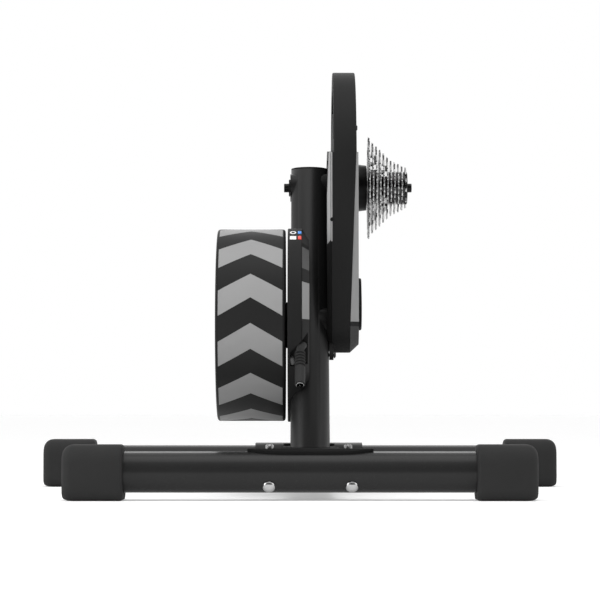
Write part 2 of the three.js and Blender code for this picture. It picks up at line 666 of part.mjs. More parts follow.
function leadPocketBox(extra) {
  const wall = extra * brake.channelWall;
  const floorZ = brake.radius - leadPocket.depth - wall;
  const right = leadPocket.x + leadPocket.width / 2 + wall;
  const left = leadPocket.x - leadPocket.width / 2 - wall;
  const half = leadPocket.height / 2 + wall;
  const corners = [[left, -half], [right, -half], [right, half], [left, half - leadPocket.cornerDrop]];
  const pocket = new THREE.ExtrudeGeometry(
    new THREE.Shape(corners.map(([x, up]) => new THREE.Vector2(x, up))),
    { depth: brake.radius + overrun - floorZ, bevelEnabled: false },
  );
  return towardsRear(pocket.translate(0, 0, floorZ), leadPocket.fromTop);
}

function lightBox(degrees, extra) {
  const height = light.depth + light.proud + extra;
  const block = box(light.width + 2 * extra, light.length + 2 * extra, height + overrun * Math.sign(extra));
  const middle = brake.radius + light.proud - height / 2 + (overrun * Math.sign(extra)) / 2;
  return towardsRear(block.translate(light.x, 0, middle), degrees);
}

function standoffs() {
  const standoff = () => disc(board.post / 2, brake.leftX + brake.wall / 2, boardLeftX - seatGap, flats.tiny);
  return board.standoffAngles.map((angle) => standoff()
    .translate(0, board.middle * Math.cos(radians(angle)), board.middle * Math.sin(radians(angle))));
}

const boardLeftX = brake.leftX + brake.wall + board.fromWall;

function brakeHousingGeometry() {
  const body = turned([
    [brake.leftX, brake.radius - brake.edge], [brake.leftX + brake.edge, brake.radius],
    [brake.rightX, brake.radius],
  ], flats.large);
  const inside = disc(brake.radius - brake.rimWall, brake.leftX + brake.wall, brake.rightX + overrun, flats.large);
  const chambers = cut(inside, alongPost(clearOfPost + brake.channelWall, flats.rim), leadPocketBox(1));
  return cut(
    join(cut(body, chambers), ...standoffs()),
    alongPost(clearOfPost, flats.rim),
    disc(post.spigotDiameter / 2 + brake.bossGap, brake.leftX - overrun, brake.leftX + brake.wall, flats.medium),
    disc(shaftTubeClear, brake.leftX, brake.rightX + overrun, flats.medium),
    leadPocketBox(0),
    lightBox(light.blueDegrees, seatGap),
    lightBox(light.redDegrees, seatGap),
  );
}

// The post parts the cover into two halves: side is -1 for the rear one and 1 for the front one
function brakeCoverGeometry(side) {
  const skin = turned([
    [coverLeftX, brake.radius - brake.coverStep], [brake.coverRightX, brake.coverRadius],
  ], flats.large);
  const body = common(skin, box(farEnd, farEnd, farEnd).translate(0, side * farEnd / 2, 0));
  const inside = turned([
    [coverLeftX - overrun, brake.radius - brake.coverStep - brake.rimWall],
    [coverLeftX, brake.radius - brake.coverStep - brake.rimWall],
    [brake.coverRightX - brake.wall, brake.coverRadius - brake.rimWall],
  ], flats.large);
  const chambers = cut(inside, alongPost(clearOfPost + brake.channelWall, flats.rim), leadPocketBox(1));
  return cut(
    body,
    chambers,
    alongPost(clearOfPost, flats.rim),
    disc(shaftTubeClear, brake.leftX, brake.coverRightX + overrun, flats.medium),
    leadPocketBox(0),
  );
}

add(leaning, 'brake_housing', brakeHousingGeometry(), finishes.housingPlastic);
add(leaning, 'brake_cover_rear', brakeCoverGeometry(-1), finishes.housingPlastic);
add(leaning, 'brake_cover_front', brakeCoverGeometry(1), finishes.housingPlastic);
add(leaning, 'blue_light', lightBox(light.blueDegrees, 0), finishes.blueLens);
add(leaning, 'red_light', lightBox(light.redDegrees, 0), finishes.redLens);

// Control board: a flat ring sector on three standoffs
const sweep = [radians(board.startDegrees), radians(board.startDegrees + board.sweepDegrees)];
add(leaning, 'control_board', plate(shapeOf([
  ...arc([0, 0], board.outer, ...sweep, flats.board),
  ...arc([0, 0], board.inner, ...sweep, flats.board).reverse(),
]), boardLeftX, boardLeftX + board.thickness), finishes.circuit);

// Power lead: a moulded boot that comes out of the pocket, bends down and ends in a socket
const leadRoot = radians(leadPocket.fromTop - 90);
const leadFall = radians(lead.tilt);
const leadStart = [flywheelY - lead.back, flywheelZ + lead.down];
const pocketFloor = lead.back * Math.cos(leadRoot) - lead.down * Math.sin(leadRoot)
  - (brake.radius - leadPocket.depth) - seatGap;
const leadEnd = lead.elbow + lead.ribs * lead.ribPitch + lead.bodyLength;

function leadGeometry() {
  const section = (x, centre, angle, radius) => arc([0, 0], 1, 0, fullTurn, flats.small).slice(1).map(([across, up]) => (
    new THREE.Vector3(
      x + radius * across,
      centre[0] - radius * up * Math.sin(angle),
      centre[1] + radius * up * Math.cos(angle),
    )));
  const along = (distance, angle) => [
    leadStart[0] - distance * Math.cos(angle),
    leadStart[1] - distance * Math.sin(angle),
  ];
  const root = (distance, radius) => section(lead.rootX, along(distance, leadRoot), leadRoot, radius);
  const straight = (distance, radius) => section(lead.x, along(distance, leadFall), leadFall, radius);
  const ribs = Array.from({ length: lead.ribs }, (_, i) => {
    const start = lead.elbow + i * lead.ribPitch;
    const end = start + lead.ribWidth;
    return [straight(start, lead.neckRadius), straight(start, lead.ribRadius), straight(end, lead.ribRadius)];
  }).flat();
  const body = loft([
    root(-pocketFloor, lead.neckRadius),
    root(-lead.collarRadius, lead.neckRadius),
    root(-lead.collarRadius / 2, lead.collarRadius),
    section((lead.rootX + lead.x) / 2, leadStart, (leadRoot + leadFall) / 2, lead.collarRadius),
    straight(lead.collarRadius, lead.collarRadius),
    ...ribs,
    straight(leadEnd - lead.bodyLength + lead.ribWidth / 2, lead.bodyRadius),
    straight(leadEnd, lead.bodyRadius),
  ]);
  return intoLeaning(body);
}

// Turns a shape along X into the lead's own direction: down and to the rear
const alongLead = (geometry) => intoLeaning(geometry
  .rotateZ(-Math.PI / 2)
  .rotateX(leadFall)
  .translate(lead.x, ...leadStart));
const leadBore = disc(
  lead.socketRadius + seatGap,
  leadEnd - lead.socketLength - seatGap,
  leadEnd + overrun,
  flats.small,
);
add(leaning, 'power_lead', cut(leadGeometry(), alongLead(leadBore)), finishes.rubber);
const socketEnd = leadEnd + lead.socketProud;
const socketBack = leadEnd - lead.socketLength;
const socket = turned([
  [socketBack, lead.socketRadius], [socketEnd, lead.socketRadius],
], flats.small);
const socketHollow = ringTube(
  lead.socketRadius - lead.socketWall,
  lead.pinRadius,
  socketBack + lead.socketWall,
  socketEnd + overrun,
  flats.small,
);
const pinTrim = disc(lead.socketRadius - lead.socketWall, socketBack + lead.pinLength, socketEnd + overrun, flats.small);
add(leaning, 'power_socket', alongLead(cut(socket, socketHollow, pinTrim)), finishes.steel);

// Belt housing: a ring that is the carrying handle, a drum round the large pulley and a toe round the
// small one, closed by a cover on either side
const housingMiddle = [0, shaftDistance];
const coverLine = [
  leaningPoint(housing.coverLineRearY, housing.coverLineRearZ),
  leaningPoint(housing.coverLineRearY + shaftDistance, housing.coverLineRearZ + shaftDistance * housing.coverLineSlope),
];
const lineAngle = Math.atan2(coverLine[1][1] - coverLine[0][1], coverLine[1][0] - coverLine[0][0]);

// Everything above the covers' top edge, moved up by a margin
const aboveCovers = (margin) => box(farEnd, farEnd * 2, farEnd)
  .translate(beltMiddleX, 0, farEnd / 2 + margin)
  .rotateX(lineAngle)
  .translate(0, ...coverLine[0]);

const leftOf = (x) => box(farEnd, farEnd * 2, farEnd * 2).translate(x - farEnd / 2, 0, 0);

// Everything to the right of the slanted joint between the housing and its right cover
const jointTilt = Math.atan2(joint.highX - joint.lowX, housing.coverLineRearZ - joint.lowZ);
const rightOfJoint = (offset) => intoLeaning(box(farEnd, farEnd * 2, farEnd * 2)
  .translate(farEnd / 2 + offset, 0, 0)
  .rotateY(jointTilt)
  .translate(joint.lowX, 0, joint.lowZ));

const outline = (big, small) => teardrop(big, small, flats.housingBig, flats.housingSmall);
const band = (inset, leftX, rightX) => plate(
  shapeOf(outline(housing.ringRadius - inset, housing.toeRadius - inset)),
  leftX,
  rightX,
);

// A teardrop whose edges lean in by different amounts at its two ends
function bevelled(stations) {
  return loft(stations.map(([x, bigInset, smallInset]) => (
    outline(housing.ringRadius - bigInset, housing.toeRadius - smallInset)
      .map(([y, z]) => new THREE.Vector3(x, y, z)))));
}

const onAxleLine = (geometry) => geometry.translate(0, ...housingMiddle);
const lugShape = (radius) => shapeOf(stadium([0, lugCentre], [0, 0], radius, flats.lug));

function beltHousingGeometry() {
  const chamfer = housing.edgeChamfer;
  const outside = bevelled([
    [housing.leftX, chamfer, chamfer], [housing.leftX + chamfer, 0, 0],
    [housing.rightX - chamfer, 0, 0], [housing.rightX, chamfer, chamfer],
  ]);
  const webRightX = housing.leftX + housing.web;
  const lowCavity = cut(band(housing.wall, webRightX, housing.rightX + overrun), aboveCovers(0));
  const drumCavity = onAxleLine(disc(
    housing.drumRadius - housing.drumWall,
    webRightX,
    housing.rightX + overrun,
    flats.large,
  ));
  // Above the covers the housing is narrower, and its web stands further right
  const slimSide = common(leftOf(housing.ringLeftX), aboveCovers(0));
  const slimWeb = common(leftOf(housing.ringLeftX + housing.web), aboveCovers(-housing.web));
  const cavity = cut(join(lowCavity, drumCavity), slimWeb);
  const handHole = common(
    onAxleLine(ringTube(
      housing.ringRadius - housing.ringThickness,
      housing.drumRadius,
      housing.leftX - overrun,
      housing.rightX + overrun,
      flats.large,
    )),
    aboveCovers(housing.handHoleMargin),
  );
  const lug = plate(lugShape(housingLug.radius), postRadius + post.centreX + seatGap, webRightX);
  const lowSide = cut(rightOfJoint(0), aboveCovers(0));
  const hubTubeHole = onAxleLine(disc(
    post.hubTubeDiameter / 2 + seatGap,
    housing.leftX - overrun,
    webRightX + overrun,
    flats.medium,
  ));
  return cut(
    join(cut(outside, cavity, slimSide), lug),
    handHole,
    lowSide,
    hubTubeHole,
    disc(post.shaftTubeDiameter / 2 + seatGap, post.centreX, webRightX + overrun, flats.medium),
    disc(housingLug.screwDiameter / 2 + seatGap, post.centreX, webRightX + overrun, flats.tiny)
      .translate(0, 0, lugCentre),
  );
}

function leftCoverGeometry() {
  const rightX = housing.leftX - seatGap;
  const body = bevelled([
    [leftCover.leftX, leftCover.bevel, leftCover.bevel], [rightX, 0, 0],
  ]);
  // The outer face slopes inwards as it rises to the top line
  const sloped = intoLeaning(leftOf(0)
    .rotateY(Math.atan(leftCover.slope))
    .translate(leftCover.topX, 0, housing.coverLineRearZ));
  return cut(
    body,
    sloped,
    aboveCovers(0),
    alongPost(clearOfPost, flats.rim),
    plate(lugShape(housingLug.radius + seatGap), leftCover.leftX - overrun, rightX + overrun),
    onAxleLine(disc(post.hubTubeDiameter / 2 + seatGap, post.centreX, rightX + overrun, flats.medium)),
    disc(post.shaftTubeDiameter / 2 + seatGap, post.centreX, rightX + overrun, flats.medium),
  );
}

function rightCoverGeometry() {
  const body = bevelled([
    [joint.lowX - overrun, 0, 0], [joint.lowX, 0, 0],
    [rightCover.rightX, rightCover.topBevel, rightCover.toeBevel],
  ]);
  const overRing = box(farEnd, farEnd * 2, farEnd * 2).translate(housing.rightX + seatGap + farEnd / 2, 0, 0);
  const low = cut(common(body, join(rightOfJoint(seatGap), overRing)), aboveCovers(0));
  const drumLidLeftX = housing.rightX - rightCover.lid;
  const drumLid = onAxleLine(disc(
    housing.drumRadius - housing.drumWall - seatGap,
    drumLidLeftX,
    housing.rightX,
    flats.large,
  ));
  const pocket = plate(
    shapeOf(outline(housing.ringRadius - rightCover.rim, housing.toeRadius - rightCover.toeRim)),
    housing.leftX,
    rightCover.rightX - rightCover.skin,
  );
  const beltRoom = band(housing.wall, housing.leftX, idlerRightX + 2 * runGap + idler.head + seatGap);
  const lowPocket = cut(join(pocket, beltRoom), aboveCovers(-rightCover.skin));
  const drumPocket = onAxleLine(disc(
    housing.drumRadius - housing.drumWall - rightCover.skin,
    housing.leftX,
    drumLidLeftX,
    flats.large,
  ));
  return cut(
    join(cut(low, lowPocket), drumLid),
    drumPocket,
    onAxleLine(disc(hub.neckDiameter / 2 + hub.coverGap, housing.leftX, hub.flangeRightX, flats.medium)),
  );
}

add(leaning, 'belt_housing', beltHousingGeometry(), finishes.housingPlastic);
add(leaning, 'left_belt_cover', leftCoverGeometry(), finishes.greyPlastic);
add(leaning, 'right_belt_cover', rightCoverGeometry(), finishes.greyPlastic);

function accessPanelGeometry() {
  const leftX = rightCover.rightX + seatGap;
  const rightX = leftX + accessPanel.thickness;
  const pad = (x, radius) => stadium([0, accessPanel.lowZ], [0, accessPanel.highZ], radius, flats.panelEnd)
    .map(([y, z]) => new THREE.Vector3(x, y, z));
  return loft([
    pad(leftX, accessPanel.radius),
    pad(rightX - accessPanel.edge, accessPanel.radius),
    pad(rightX, accessPanel.radius - accessPanel.edge),
  ]);
}

add(leaning, 'access_panel', accessPanelGeometry(), finishes.housingPlastic);

const lugRightX = housing.leftX + housing.web + seatGap;
add(leaning, 'housing_screw', turned([
  [post.centreX + postRadius - post.wall, housingLug.screwDiameter / 2], [lugRightX, housingLug.screwDiameter / 2],
  [lugRightX, housingLug.headDiameter / 2], [lugRightX + housingLug.headHeight / 2, housingLug.headDiameter / 2],
  [lugRightX + housingLug.headHeight, housingLug.headDiameter / 4],
], flats.small).translate(0, 0, lugCentre), finishes.steel);

// Fixed axle with the end caps that take the bike's dropouts
const rightSeatX = leftSeatX + dropoutWidth;
const leftFlangeX = post.hubTubeLeftX - seatGap;
const rightFlangeX = rightSeatX - endCap.flange;

add(axleLine, 'axle', ringTube(
  bearing.bore / 2,
  axle.bore / 2,
  post.hubTubeLeftX,
  rightFlangeX - seatGap,
  flats.inner,
), finishes.steel);

// An end cap: spigot in the axle's bore, flange against the dropout, stub in the dropout's slot
const endCapGeometry = (spigotX, flangeX, seatX, stubX) => cut(turned([
  [spigotX, axle.bore / 2 - seatGap], [flangeX, axle.bore / 2 - seatGap],
  [flangeX, endCap.flangeDiameter / 2], [seatX, endCap.flangeDiameter / 2],
  [seatX, endCap.stubDiameter / 2], [stubX, endCap.stubDiameter / 2],
], flats.inner), disc(endCap.skewerHole / 2, -farEnd, farEnd, flats.small));

add(axleLine, 'left_end_cap', endCapGeometry(
  leftFlangeX + endCap.spigot,
  leftFlangeX,
  leftSeatX,
  leftSeatX - endCap.leftStub,
), finishes.darkSteel);
add(axleLine, 'right_end_cap', endCapGeometry(
  rightFlangeX - endCap.spigot,
  rightFlangeX,
  rightSeatX,
  rightSeatX + endCap.rightStub,
), finishes.darkSteel);

// Outline with the same tooth all the way round
function toothedOutline(count, rootRadius, tipRadius, shares) {
  return Array.from({ length: count }, (_, i) => shares.map(([along, height]) => {
    const angle = ((i + along) * fullTurn) / count;
    const radius = rootRadius + (tipRadius - rootRadius) * height;
    return [radius * Math.cos(angle), radius * Math.sin(angle)];
  })).flat();
}

// Splined outline of the freehub body, and of the bores that slide on it
const splineOutline = (offset) => (
  toothedOutline(spline.count, spline.rootRadius + offset, spline.tipRadius + offset, splineShares));

const cogX = cassette.teeth.map((_, i) => cassette.firstX + i * cassette.step);
const cogHalf = cassette.cogWidth / 2;
const lastCogRight = cogX.at(-1) + cogHalf;
const cassetteLeft = cassette.firstX - cogHalf;

function freehubGeometry() {
  const rightX = lastCogRight - seatGap;
  const flange = disc(spline.tipRadius + spline.flange, hub.flangeRightX + seatGap, cassetteLeft - seatGap, flats.inner);
  const barrel = plate(shapeOf(splineOutline(0)), hub.flangeRightX + seatGap, rightX);
  const bore = disc(bearing.bore / 2 + runGap, hub.leftX, rightSeatX, flats.inner);
  const mouth = disc(lockring.barrelRadius + seatGap, rightX - lockring.barrel - seatGap, rightX + overrun, flats.inner);
  return cut(join(flange, barrel), bore, mouth);
}

const pitchRadius = (teeth) => chainPitch / (2 * Math.sin(Math.PI / teeth));
const rootRadius = (teeth) => pitchRadius(teeth) - cassette.valleyDepth;
const tipRadius = (teeth) => pitchRadius(teeth) + cassette.tipHeight;
const cogOutline = (teeth) => toothedOutline(teeth, rootRadius(teeth), tipRadius(teeth), toothShares);

const cogPlate = (teeth, middleX) => plate(shapeOf(cogOutline(teeth)), middleX - cogHalf, middleX + cogHalf);
const splineBore = plate(shapeOf(splineOutline(spline.gap)), hub.leftX, rightSeatX);
const spacerRadius = spline.tipRadius + spline.gap + cassette.spacerWall;

// Cogs first to last riveted to one carrier: toothed rings on stepped arms
function cogCluster(first, last) {
  const leftX = cogX[first] - cogHalf;
  const members = cogX.slice(first, last + 1).map((x, i) => ({ x, teeth: cassette.teeth[first + i] }));
  const inside = ({ teeth }) => rootRadius(teeth) - cassette.ringDepth;
  const rings = members.map((member) => cut(
    cogPlate(member.teeth, member.x),
    disc(inside(member), leftX - overrun, rightSeatX, flats.inner),
  ));
  // One arm: stepped so that it ends in the inside of each ring
  const steps = members.flatMap((member, i) => {
    const start = i === 0 ? leftX : members[i - 1].x + cogHalf;
    const reach = inside(member) + cassette.armLap;
    return [[start, reach], [member.x + cogHalf, reach]];
  });
  const side = [[leftX, 0], ...steps, [members.at(-1).x + cogHalf, 0]].map(([x, reach]) => new THREE.Vector2(x, reach));
  const arms = Array.from({ length: cassette.arms }, (_, i) => (
    new THREE.ExtrudeGeometry(new THREE.Shape(side), { depth: cassette.armWidth, bevelEnabled: false })
      .translate(0, 0, -cassette.armWidth / 2)
      .rotateX((i * fullTurn) / cassette.arms)));
  const core = disc(spacerRadius, leftX, members.at(-1).x + cogHalf, flats.inner);
  return cut(join(core, ...rings, ...arms), splineBore);
}

// A small cog with the spacer that keeps it off the cog before it
function singleCog(index) {
  const spacerLeft = cogX[index - 1] + cogHalf + seatGap;
  const spacer = disc(spacerRadius, spacerLeft, cogX[index], flats.inner);
  return cut(join(cogPlate(cassette.teeth[index], cogX[index]), spacer), splineBore);
}

function lockringGeometry() {
  const flangeLeft = lastCogRight + seatGap;
  const body = turned([
    [lastCogRight - lockring.barrel, lockring.barrelRadius], [flangeLeft, lockring.barrelRadius],
    [flangeLeft, lockring.radius], [flangeLeft + lockring.flange, lockring.radius],
  ], flats.inner);
  const bore = toothedOutline(
    lockring.notches,
    lockring.boreRadius,
    lockring.boreRadius + lockring.notchDepth,
    notchShares,
  );
  return cut(body, plate(shapeOf(bore), hub.leftX, rightSeatX));
}

add(axleLine, 'freehub_body', freehubGeometry(), finishes.aluminium);
for (const [first, last] of cassette.clusters) {
  const name = `cogs_${cassette.teeth.slice(first, last + 1).join('_')}`;
  add(axleLine, name, cogCluster(first, last), finishes.steel);
}
for (let i = cassette.clusters.at(-1)[1] + 1; i < cassette.teeth.length; i += 1) {
  add(axleLine, `cog_${cassette.teeth[i]}`, singleCog(i), finishes.steel);
}
add(axleLine, 'lockring', lockringGeometry(), finishes.steel);

export default trainer;
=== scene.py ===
# Direct drive bike trainer: camera, floor, light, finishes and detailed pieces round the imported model.
# Lengths in the dictionaries are in millimetres. +X is the drive side, +Y is forward, +Z is up.
import math

import bmesh
import bpy
from mathutils import Matrix, Vector


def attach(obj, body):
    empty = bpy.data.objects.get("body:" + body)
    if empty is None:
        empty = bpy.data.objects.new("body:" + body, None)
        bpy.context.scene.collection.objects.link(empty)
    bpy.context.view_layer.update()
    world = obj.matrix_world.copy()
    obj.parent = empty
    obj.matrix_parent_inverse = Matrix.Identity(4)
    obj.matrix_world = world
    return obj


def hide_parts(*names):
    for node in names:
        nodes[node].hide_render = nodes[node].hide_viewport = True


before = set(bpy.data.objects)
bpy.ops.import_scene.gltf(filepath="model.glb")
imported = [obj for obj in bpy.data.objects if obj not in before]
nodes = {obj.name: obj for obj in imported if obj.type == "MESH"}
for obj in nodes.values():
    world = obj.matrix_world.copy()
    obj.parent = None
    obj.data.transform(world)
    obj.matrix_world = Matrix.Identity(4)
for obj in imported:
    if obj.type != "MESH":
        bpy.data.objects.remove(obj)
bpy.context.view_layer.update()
collection = bpy.context.scene.collection

fullTurn = 2 * math.pi
millimetre = 0.001

# Where the two shafts lie, as in the model
layout = {"flywheelY": -65.2, "flywheelZ": 184, "shaftDistance": 200, "lean": 36.49, "postX": 10.6}
# Clearances of a seat and of a running fit, and how far a cutter reaches past
gap = {"seat": 0.3, "run": 0.3, "over": 5}

upright = Matrix.Identity(4)
flywheelCentre = Matrix.Translation((0, layout["flywheelY"], layout["flywheelZ"]))
leaning = flywheelCentre @ Matrix.Rotation(-math.radians(layout["lean"]), 4, "X")
axleLine = leaning @ Matrix.Translation((0, 0, layout["shaftDistance"]))


# Finishes
class Signal:  # the value at a node's output, for maths written as plain Python
    def __init__(self, socket):
        self.socket = socket

    def maths(self, operation, *others, clamp=False):
        settings = {"operation": operation, "use_clamp": clamp}
        return signal(self.socket.id_data, "ShaderNodeMath", settings, enumerate((self, *others)))

    def __add__(self, other):
        return self.maths("ADD", other)

    def __sub__(self, other):
        return self.maths("SUBTRACT", other)

    def __rsub__(self, other):
        return self.maths("MULTIPLY_ADD", -1, other)

    def __mul__(self, other):
        return self.maths("MULTIPLY", other)

    def __truediv__(self, other):
        return self.maths("DIVIDE", other)

    def __gt__(self, other):
        return self.maths("GREATER_THAN", other)

    def __lt__(self, other):
        return self.maths("LESS_THAN", other)

    __radd__ = __add__
    __rmul__ = __mul__

    def size(self):
        return self.maths("ABSOLUTE")

    def fraction(self):
        return self.maths("FRACT")

    def parts(self):  # the three numbers of a vector
        split = addNode(self.socket.id_data, "ShaderNodeSeparateXYZ", inputs={0: self})
        return [Signal(socket) for socket in split.outputs]


def plug(socket, value):
    if isinstance(value, Signal):
        socket.id_data.links.new(value.socket, socket)
    elif socket.type == "RGBA" and len(value) == 3:
        socket.default_value = (*value, 1)
    else:
        socket.default_value = value


def addNode(tree, kind, settings=(), inputs=()):  # any node: first its settings, then its sockets
    node = tree.nodes.new(kind)
    for key, value in dict(settings).items():
        setattr(node, key, value)
    for key, value in dict(inputs).items():
        plug(node.inputs[key], value)
    return node


def signal(tree, kind, settings=(), inputs=(), output=0):  # the value at one output of a new node
    return Signal(addNode(tree, kind, settings, inputs).outputs[output])


class Finish:  # one material: a Principled shader and the nodes that feed it
    def __init__(self, name, **sockets):
        self.material = bpy.data.materials.new(name)
        self.material.use_nodes = True
        self.tree = self.material.node_tree
        self.tree.nodes.clear()
        self.shader = addNode(self.tree, "ShaderNodeBsdfPrincipled")
        addNode(self.tree, "ShaderNodeOutputMaterial", inputs={"Surface": Signal(self.shader.outputs[0])})
        self.place = signal(self.tree, "ShaderNodeTexCoord", output="Object")
        self.set(**sockets)

    def set(self, **sockets):
        for name, value in sockets.items():
            plug(self.shader.inputs[name.replace("_", " ")], value)

    def noise(self, scale, detail, roughness=0.5):
        return signal(self.tree, "ShaderNodeTexNoise", inputs={
            "Vector": self.place, "Scale": scale, "Detail": detail, "Roughness": roughness})

    def mix(self, share, first, second):  # sockets 6 and 7 take a Mix node's colours, output 2 gives one
        return signal(self.tree, "ShaderNodeMix", {"data_type": "RGBA"}, {0: share, 6: first, 7: second}, 2)

    def greys(self, share, levels):  # between two grey levels
        return self.mix(share, grey(levels[0]), grey(levels[1]))

    def bump(self, height, strength, depth):  # the depth is in metres
        self.set(Normal=signal(self.tree, "ShaderNodeBump", inputs={
            "Height": height, "Strength": strength, "Distance": depth}))

    def axes(self, matrix=upright):  # a point's three coordinates in a piece's own frame, in millimetres
        place = signal(self.tree, "ShaderNodeVectorMath", {"operation": "SCALE"}, {
            "Vector": self.place, "Scale": 1 / millimetre})
        back = matrix.inverted()
        return signal(self.tree, "ShaderNodeMapping", inputs={
            "Vector": place, "Location": back.to_translation(), "Rotation": back.to_euler()}).parts()


def grey(level):  # a neutral colour from its level in a picture, 0 to 255
    share = level / 255
    linear = share / 12.92 if share <= 0.04045 else ((share + 0.055) / 1.055) ** 2.4
    return (linear, linear, linear)


# In every dictionary of a finish, a noise is its scale, detail and roughness, and a bump is its strength
# and depth
surfaces = {
    "coat": {"cloud": (9, 3), "grain": (900, 2, 0.6), "roughRise": 0.14, "bump": (0.25, 0.00012)},
    "shell": {"cloud": (14, 3), "grain": (1500, 1), "roughRise": 0.16, "bump": (0.3, 0.0001)},
    "rubber": {"cloud": (22, 4, 0.6), "grain": (2200, 2, 0.6), "roughRise": 0.16, "bump": (0.35, 0.00012)},
}
coverings = {  # paints and plastics
    "powderCoat": {"surface": "coat", "levels": (20, 25), "gloss": 0.22, "rough": 0.3},
    "plateCoat": {"surface": "coat", "levels": (20, 25), "gloss": 0.1, "rough": 0.75},
    "legCoat": {"surface": "coat", "levels": (33, 38), "gloss": 0.22, "rough": 0.18},
    "mouldedShell": {"surface": "shell", "levels": (27, 32), "gloss": 0.12, "rough": 0.5},
    "panelBlack": {"surface": "shell", "levels": (16, 21), "gloss": 0.12, "rough": 0.5},
    "leadBlack": {"surface": "shell", "levels": (40, 48), "gloss": 0.12, "rough": 0.5},
    "plugGrey": {"surface": "shell", "levels": (84, 98), "gloss": 0.12, "rough": 0.5},
    "footRubber": {"surface": "rubber", "levels": (40, 47), "gloss": 0.16, "rough": 0.66},
}


def grained(name, kind):  # a clouded grey with a fine grain, and its colour for marks on top
    covering = coverings[kind]
    surface = surfaces[covering["surface"]]
    finish = Finish(name, Specular_IOR_Level=covering["gloss"])
    grain = finish.noise(*surface["grain"])
    colour = finish.greys(finish.noise(*surface["cloud"]), covering["levels"])
    finish.set(Base_Color=colour, Roughness=covering["rough"] + grain * surface["roughRise"])
    finish.bump(grain, *surface["bump"])
    return finish, colour


def plainCovering(kind):
    finish, _ = grained(kind, kind)
    return finish.material


steelFace = {
    "cloud": (160, 3, 0.6), "fall": 12, "roughRise": 0.08, "scratch": (2600, 2), "bump": (0.05, 0.00005),
}


def brightSteel(name, level, rough):
    finish = Finish(name, Metallic=1.0)
    cloud = finish.noise(*steelFace["cloud"])
    finish.set(Base_Color=finish.greys(cloud, (level - steelFace["fall"], level)),
               Roughness=rough + cloud * steelFace["roughRise"])
    finish.bump(finish.noise(*steelFace["scratch"]), *steelFace["bump"])
    return finish.material


toolMarks = {
    "pitch": 1.1, "wear": (90, 3, 0.6), "fall": 14, "rise": 4, "markRough": 0.06, "wearRough": 0.1,
    "bump": (0.06, 0.00008), "coreLevel": 60,
}


def turnedMetal(name, level, rough, matrix, pitch=toolMarks["pitch"], tint=(1, 1, 1), darkCore=0):
    finish = Finish(name, Metallic=1.0)
    x, y, z = finish.axes(matrix)
    radius = (y * y + z * z).maths("SQRT")
    groove = (radius / pitch + x / pitch).fraction()
    wear = finish.noise(*toolMarks["wear"])
    low = tuple(a * b for a, b in zip(grey(level - toolMarks["fall"]), tint))
    high = tuple(a * b for a, b in zip(grey(level + toolMarks["rise"]), tint))
    colour = finish.mix(wear, low, high)
    if darkCore:  # blackened inside this radius
        colour = finish.mix(radius < darkCore, colour, grey(toolMarks["coreLevel"]))
    finish.set(Base_Color=colour,
               Roughness=rough + groove * toolMarks["markRough"] + wear * toolMarks["wearRough"])
    finish.bump(groove, *toolMarks["bump"])
    return finish.material


lensFace = {"speck": (300, 2), "shade": 0.85, "roughRise": 0.06}


def lensPlastic(name, colour, rough, glow):
    finish = Finish(name, Emission_Color=colour, Emission_Strength=glow)
    speck = finish.noise(*lensFace["speck"])
    darker = tuple(channel * lensFace["shade"] for channel in colour)
    finish.set(Base_Color=finish.mix(speck, darker, colour), Roughness=rough + speck * lensFace["roughRise"])
    return finish.material


boardPaint = {
    "perMillimetre": 0.35, "trackFrom": 0.7, "patch": (60, 0), "patchFrom": 0.5, "padScale": 190,
    "padSize": 0.16, "lacquer": (0.006, 0.05, 0.02), "track": (0.015, 0.1, 0.04), "pad": (0.5, 0.45, 0.3),
    "rough": 0.35, "bump": (0.2, 0.00005),
}


def circuitBoard():
    finish = Finish("circuitBoard", Roughness=boardPaint["rough"])
    rows = (finish.axes(leaning)[1] * boardPaint["perMillimetre"]).fraction() > boardPaint["trackFrom"]
    track = rows * (finish.noise(*boardPaint["patch"]) > boardPaint["patchFrom"])
    dots = signal(finish.tree, "ShaderNodeTexVoronoi", inputs={
        "Vector": finish.place, "Scale": boardPaint["padScale"]})
    base = finish.mix(track, boardPaint["lacquer"], boardPaint["track"])
    finish.set(Base_Color=finish.mix(dots < boardPaint["padSize"], base, boardPaint["pad"]))
    finish.bump(track, *boardPaint["bump"])
    return finish.material


beltFace = {
    "pitch": 1.56, "cloud": (120, 3), "levels": (26, 36), "rough": 0.62, "roughRise": 0.2,
    "bump": (0.6, 0.0006),
}


def beltRubber():
    finish = Finish("beltRubber")
    ridge = ((finish.axes(leaning)[0] / beltFace["pitch"]).fraction() - 0.5).size()
    colour = finish.greys(finish.noise(*beltFace["cloud"]), beltFace["levels"])
    finish.set(Base_Color=colour, Roughness=beltFace["rough"] + ridge * beltFace["roughRise"])
    finish.bump(ridge, *beltFace["bump"])
    return finish.material


# Two greys in chevrons round the flywheel's rim, with dark edges
wheelPaint = {
    "apexX": -52, "dropDegrees": 11.1, "halfWidth": 34.5, "period": 30, "offset": 0.75, "leftX": -86,
    "rightX": -18.5, "innerRadius": 100, "light": (142, 149), "dark": (30, 37), "edge": (22, 30),
    "gloss": 0.14, "cloud": (12, 3), "speckle": (700, 2, 0.6), "rough": 0.42, "roughRise": 0.14,
    "bump": (0.18, 0.0001),
}


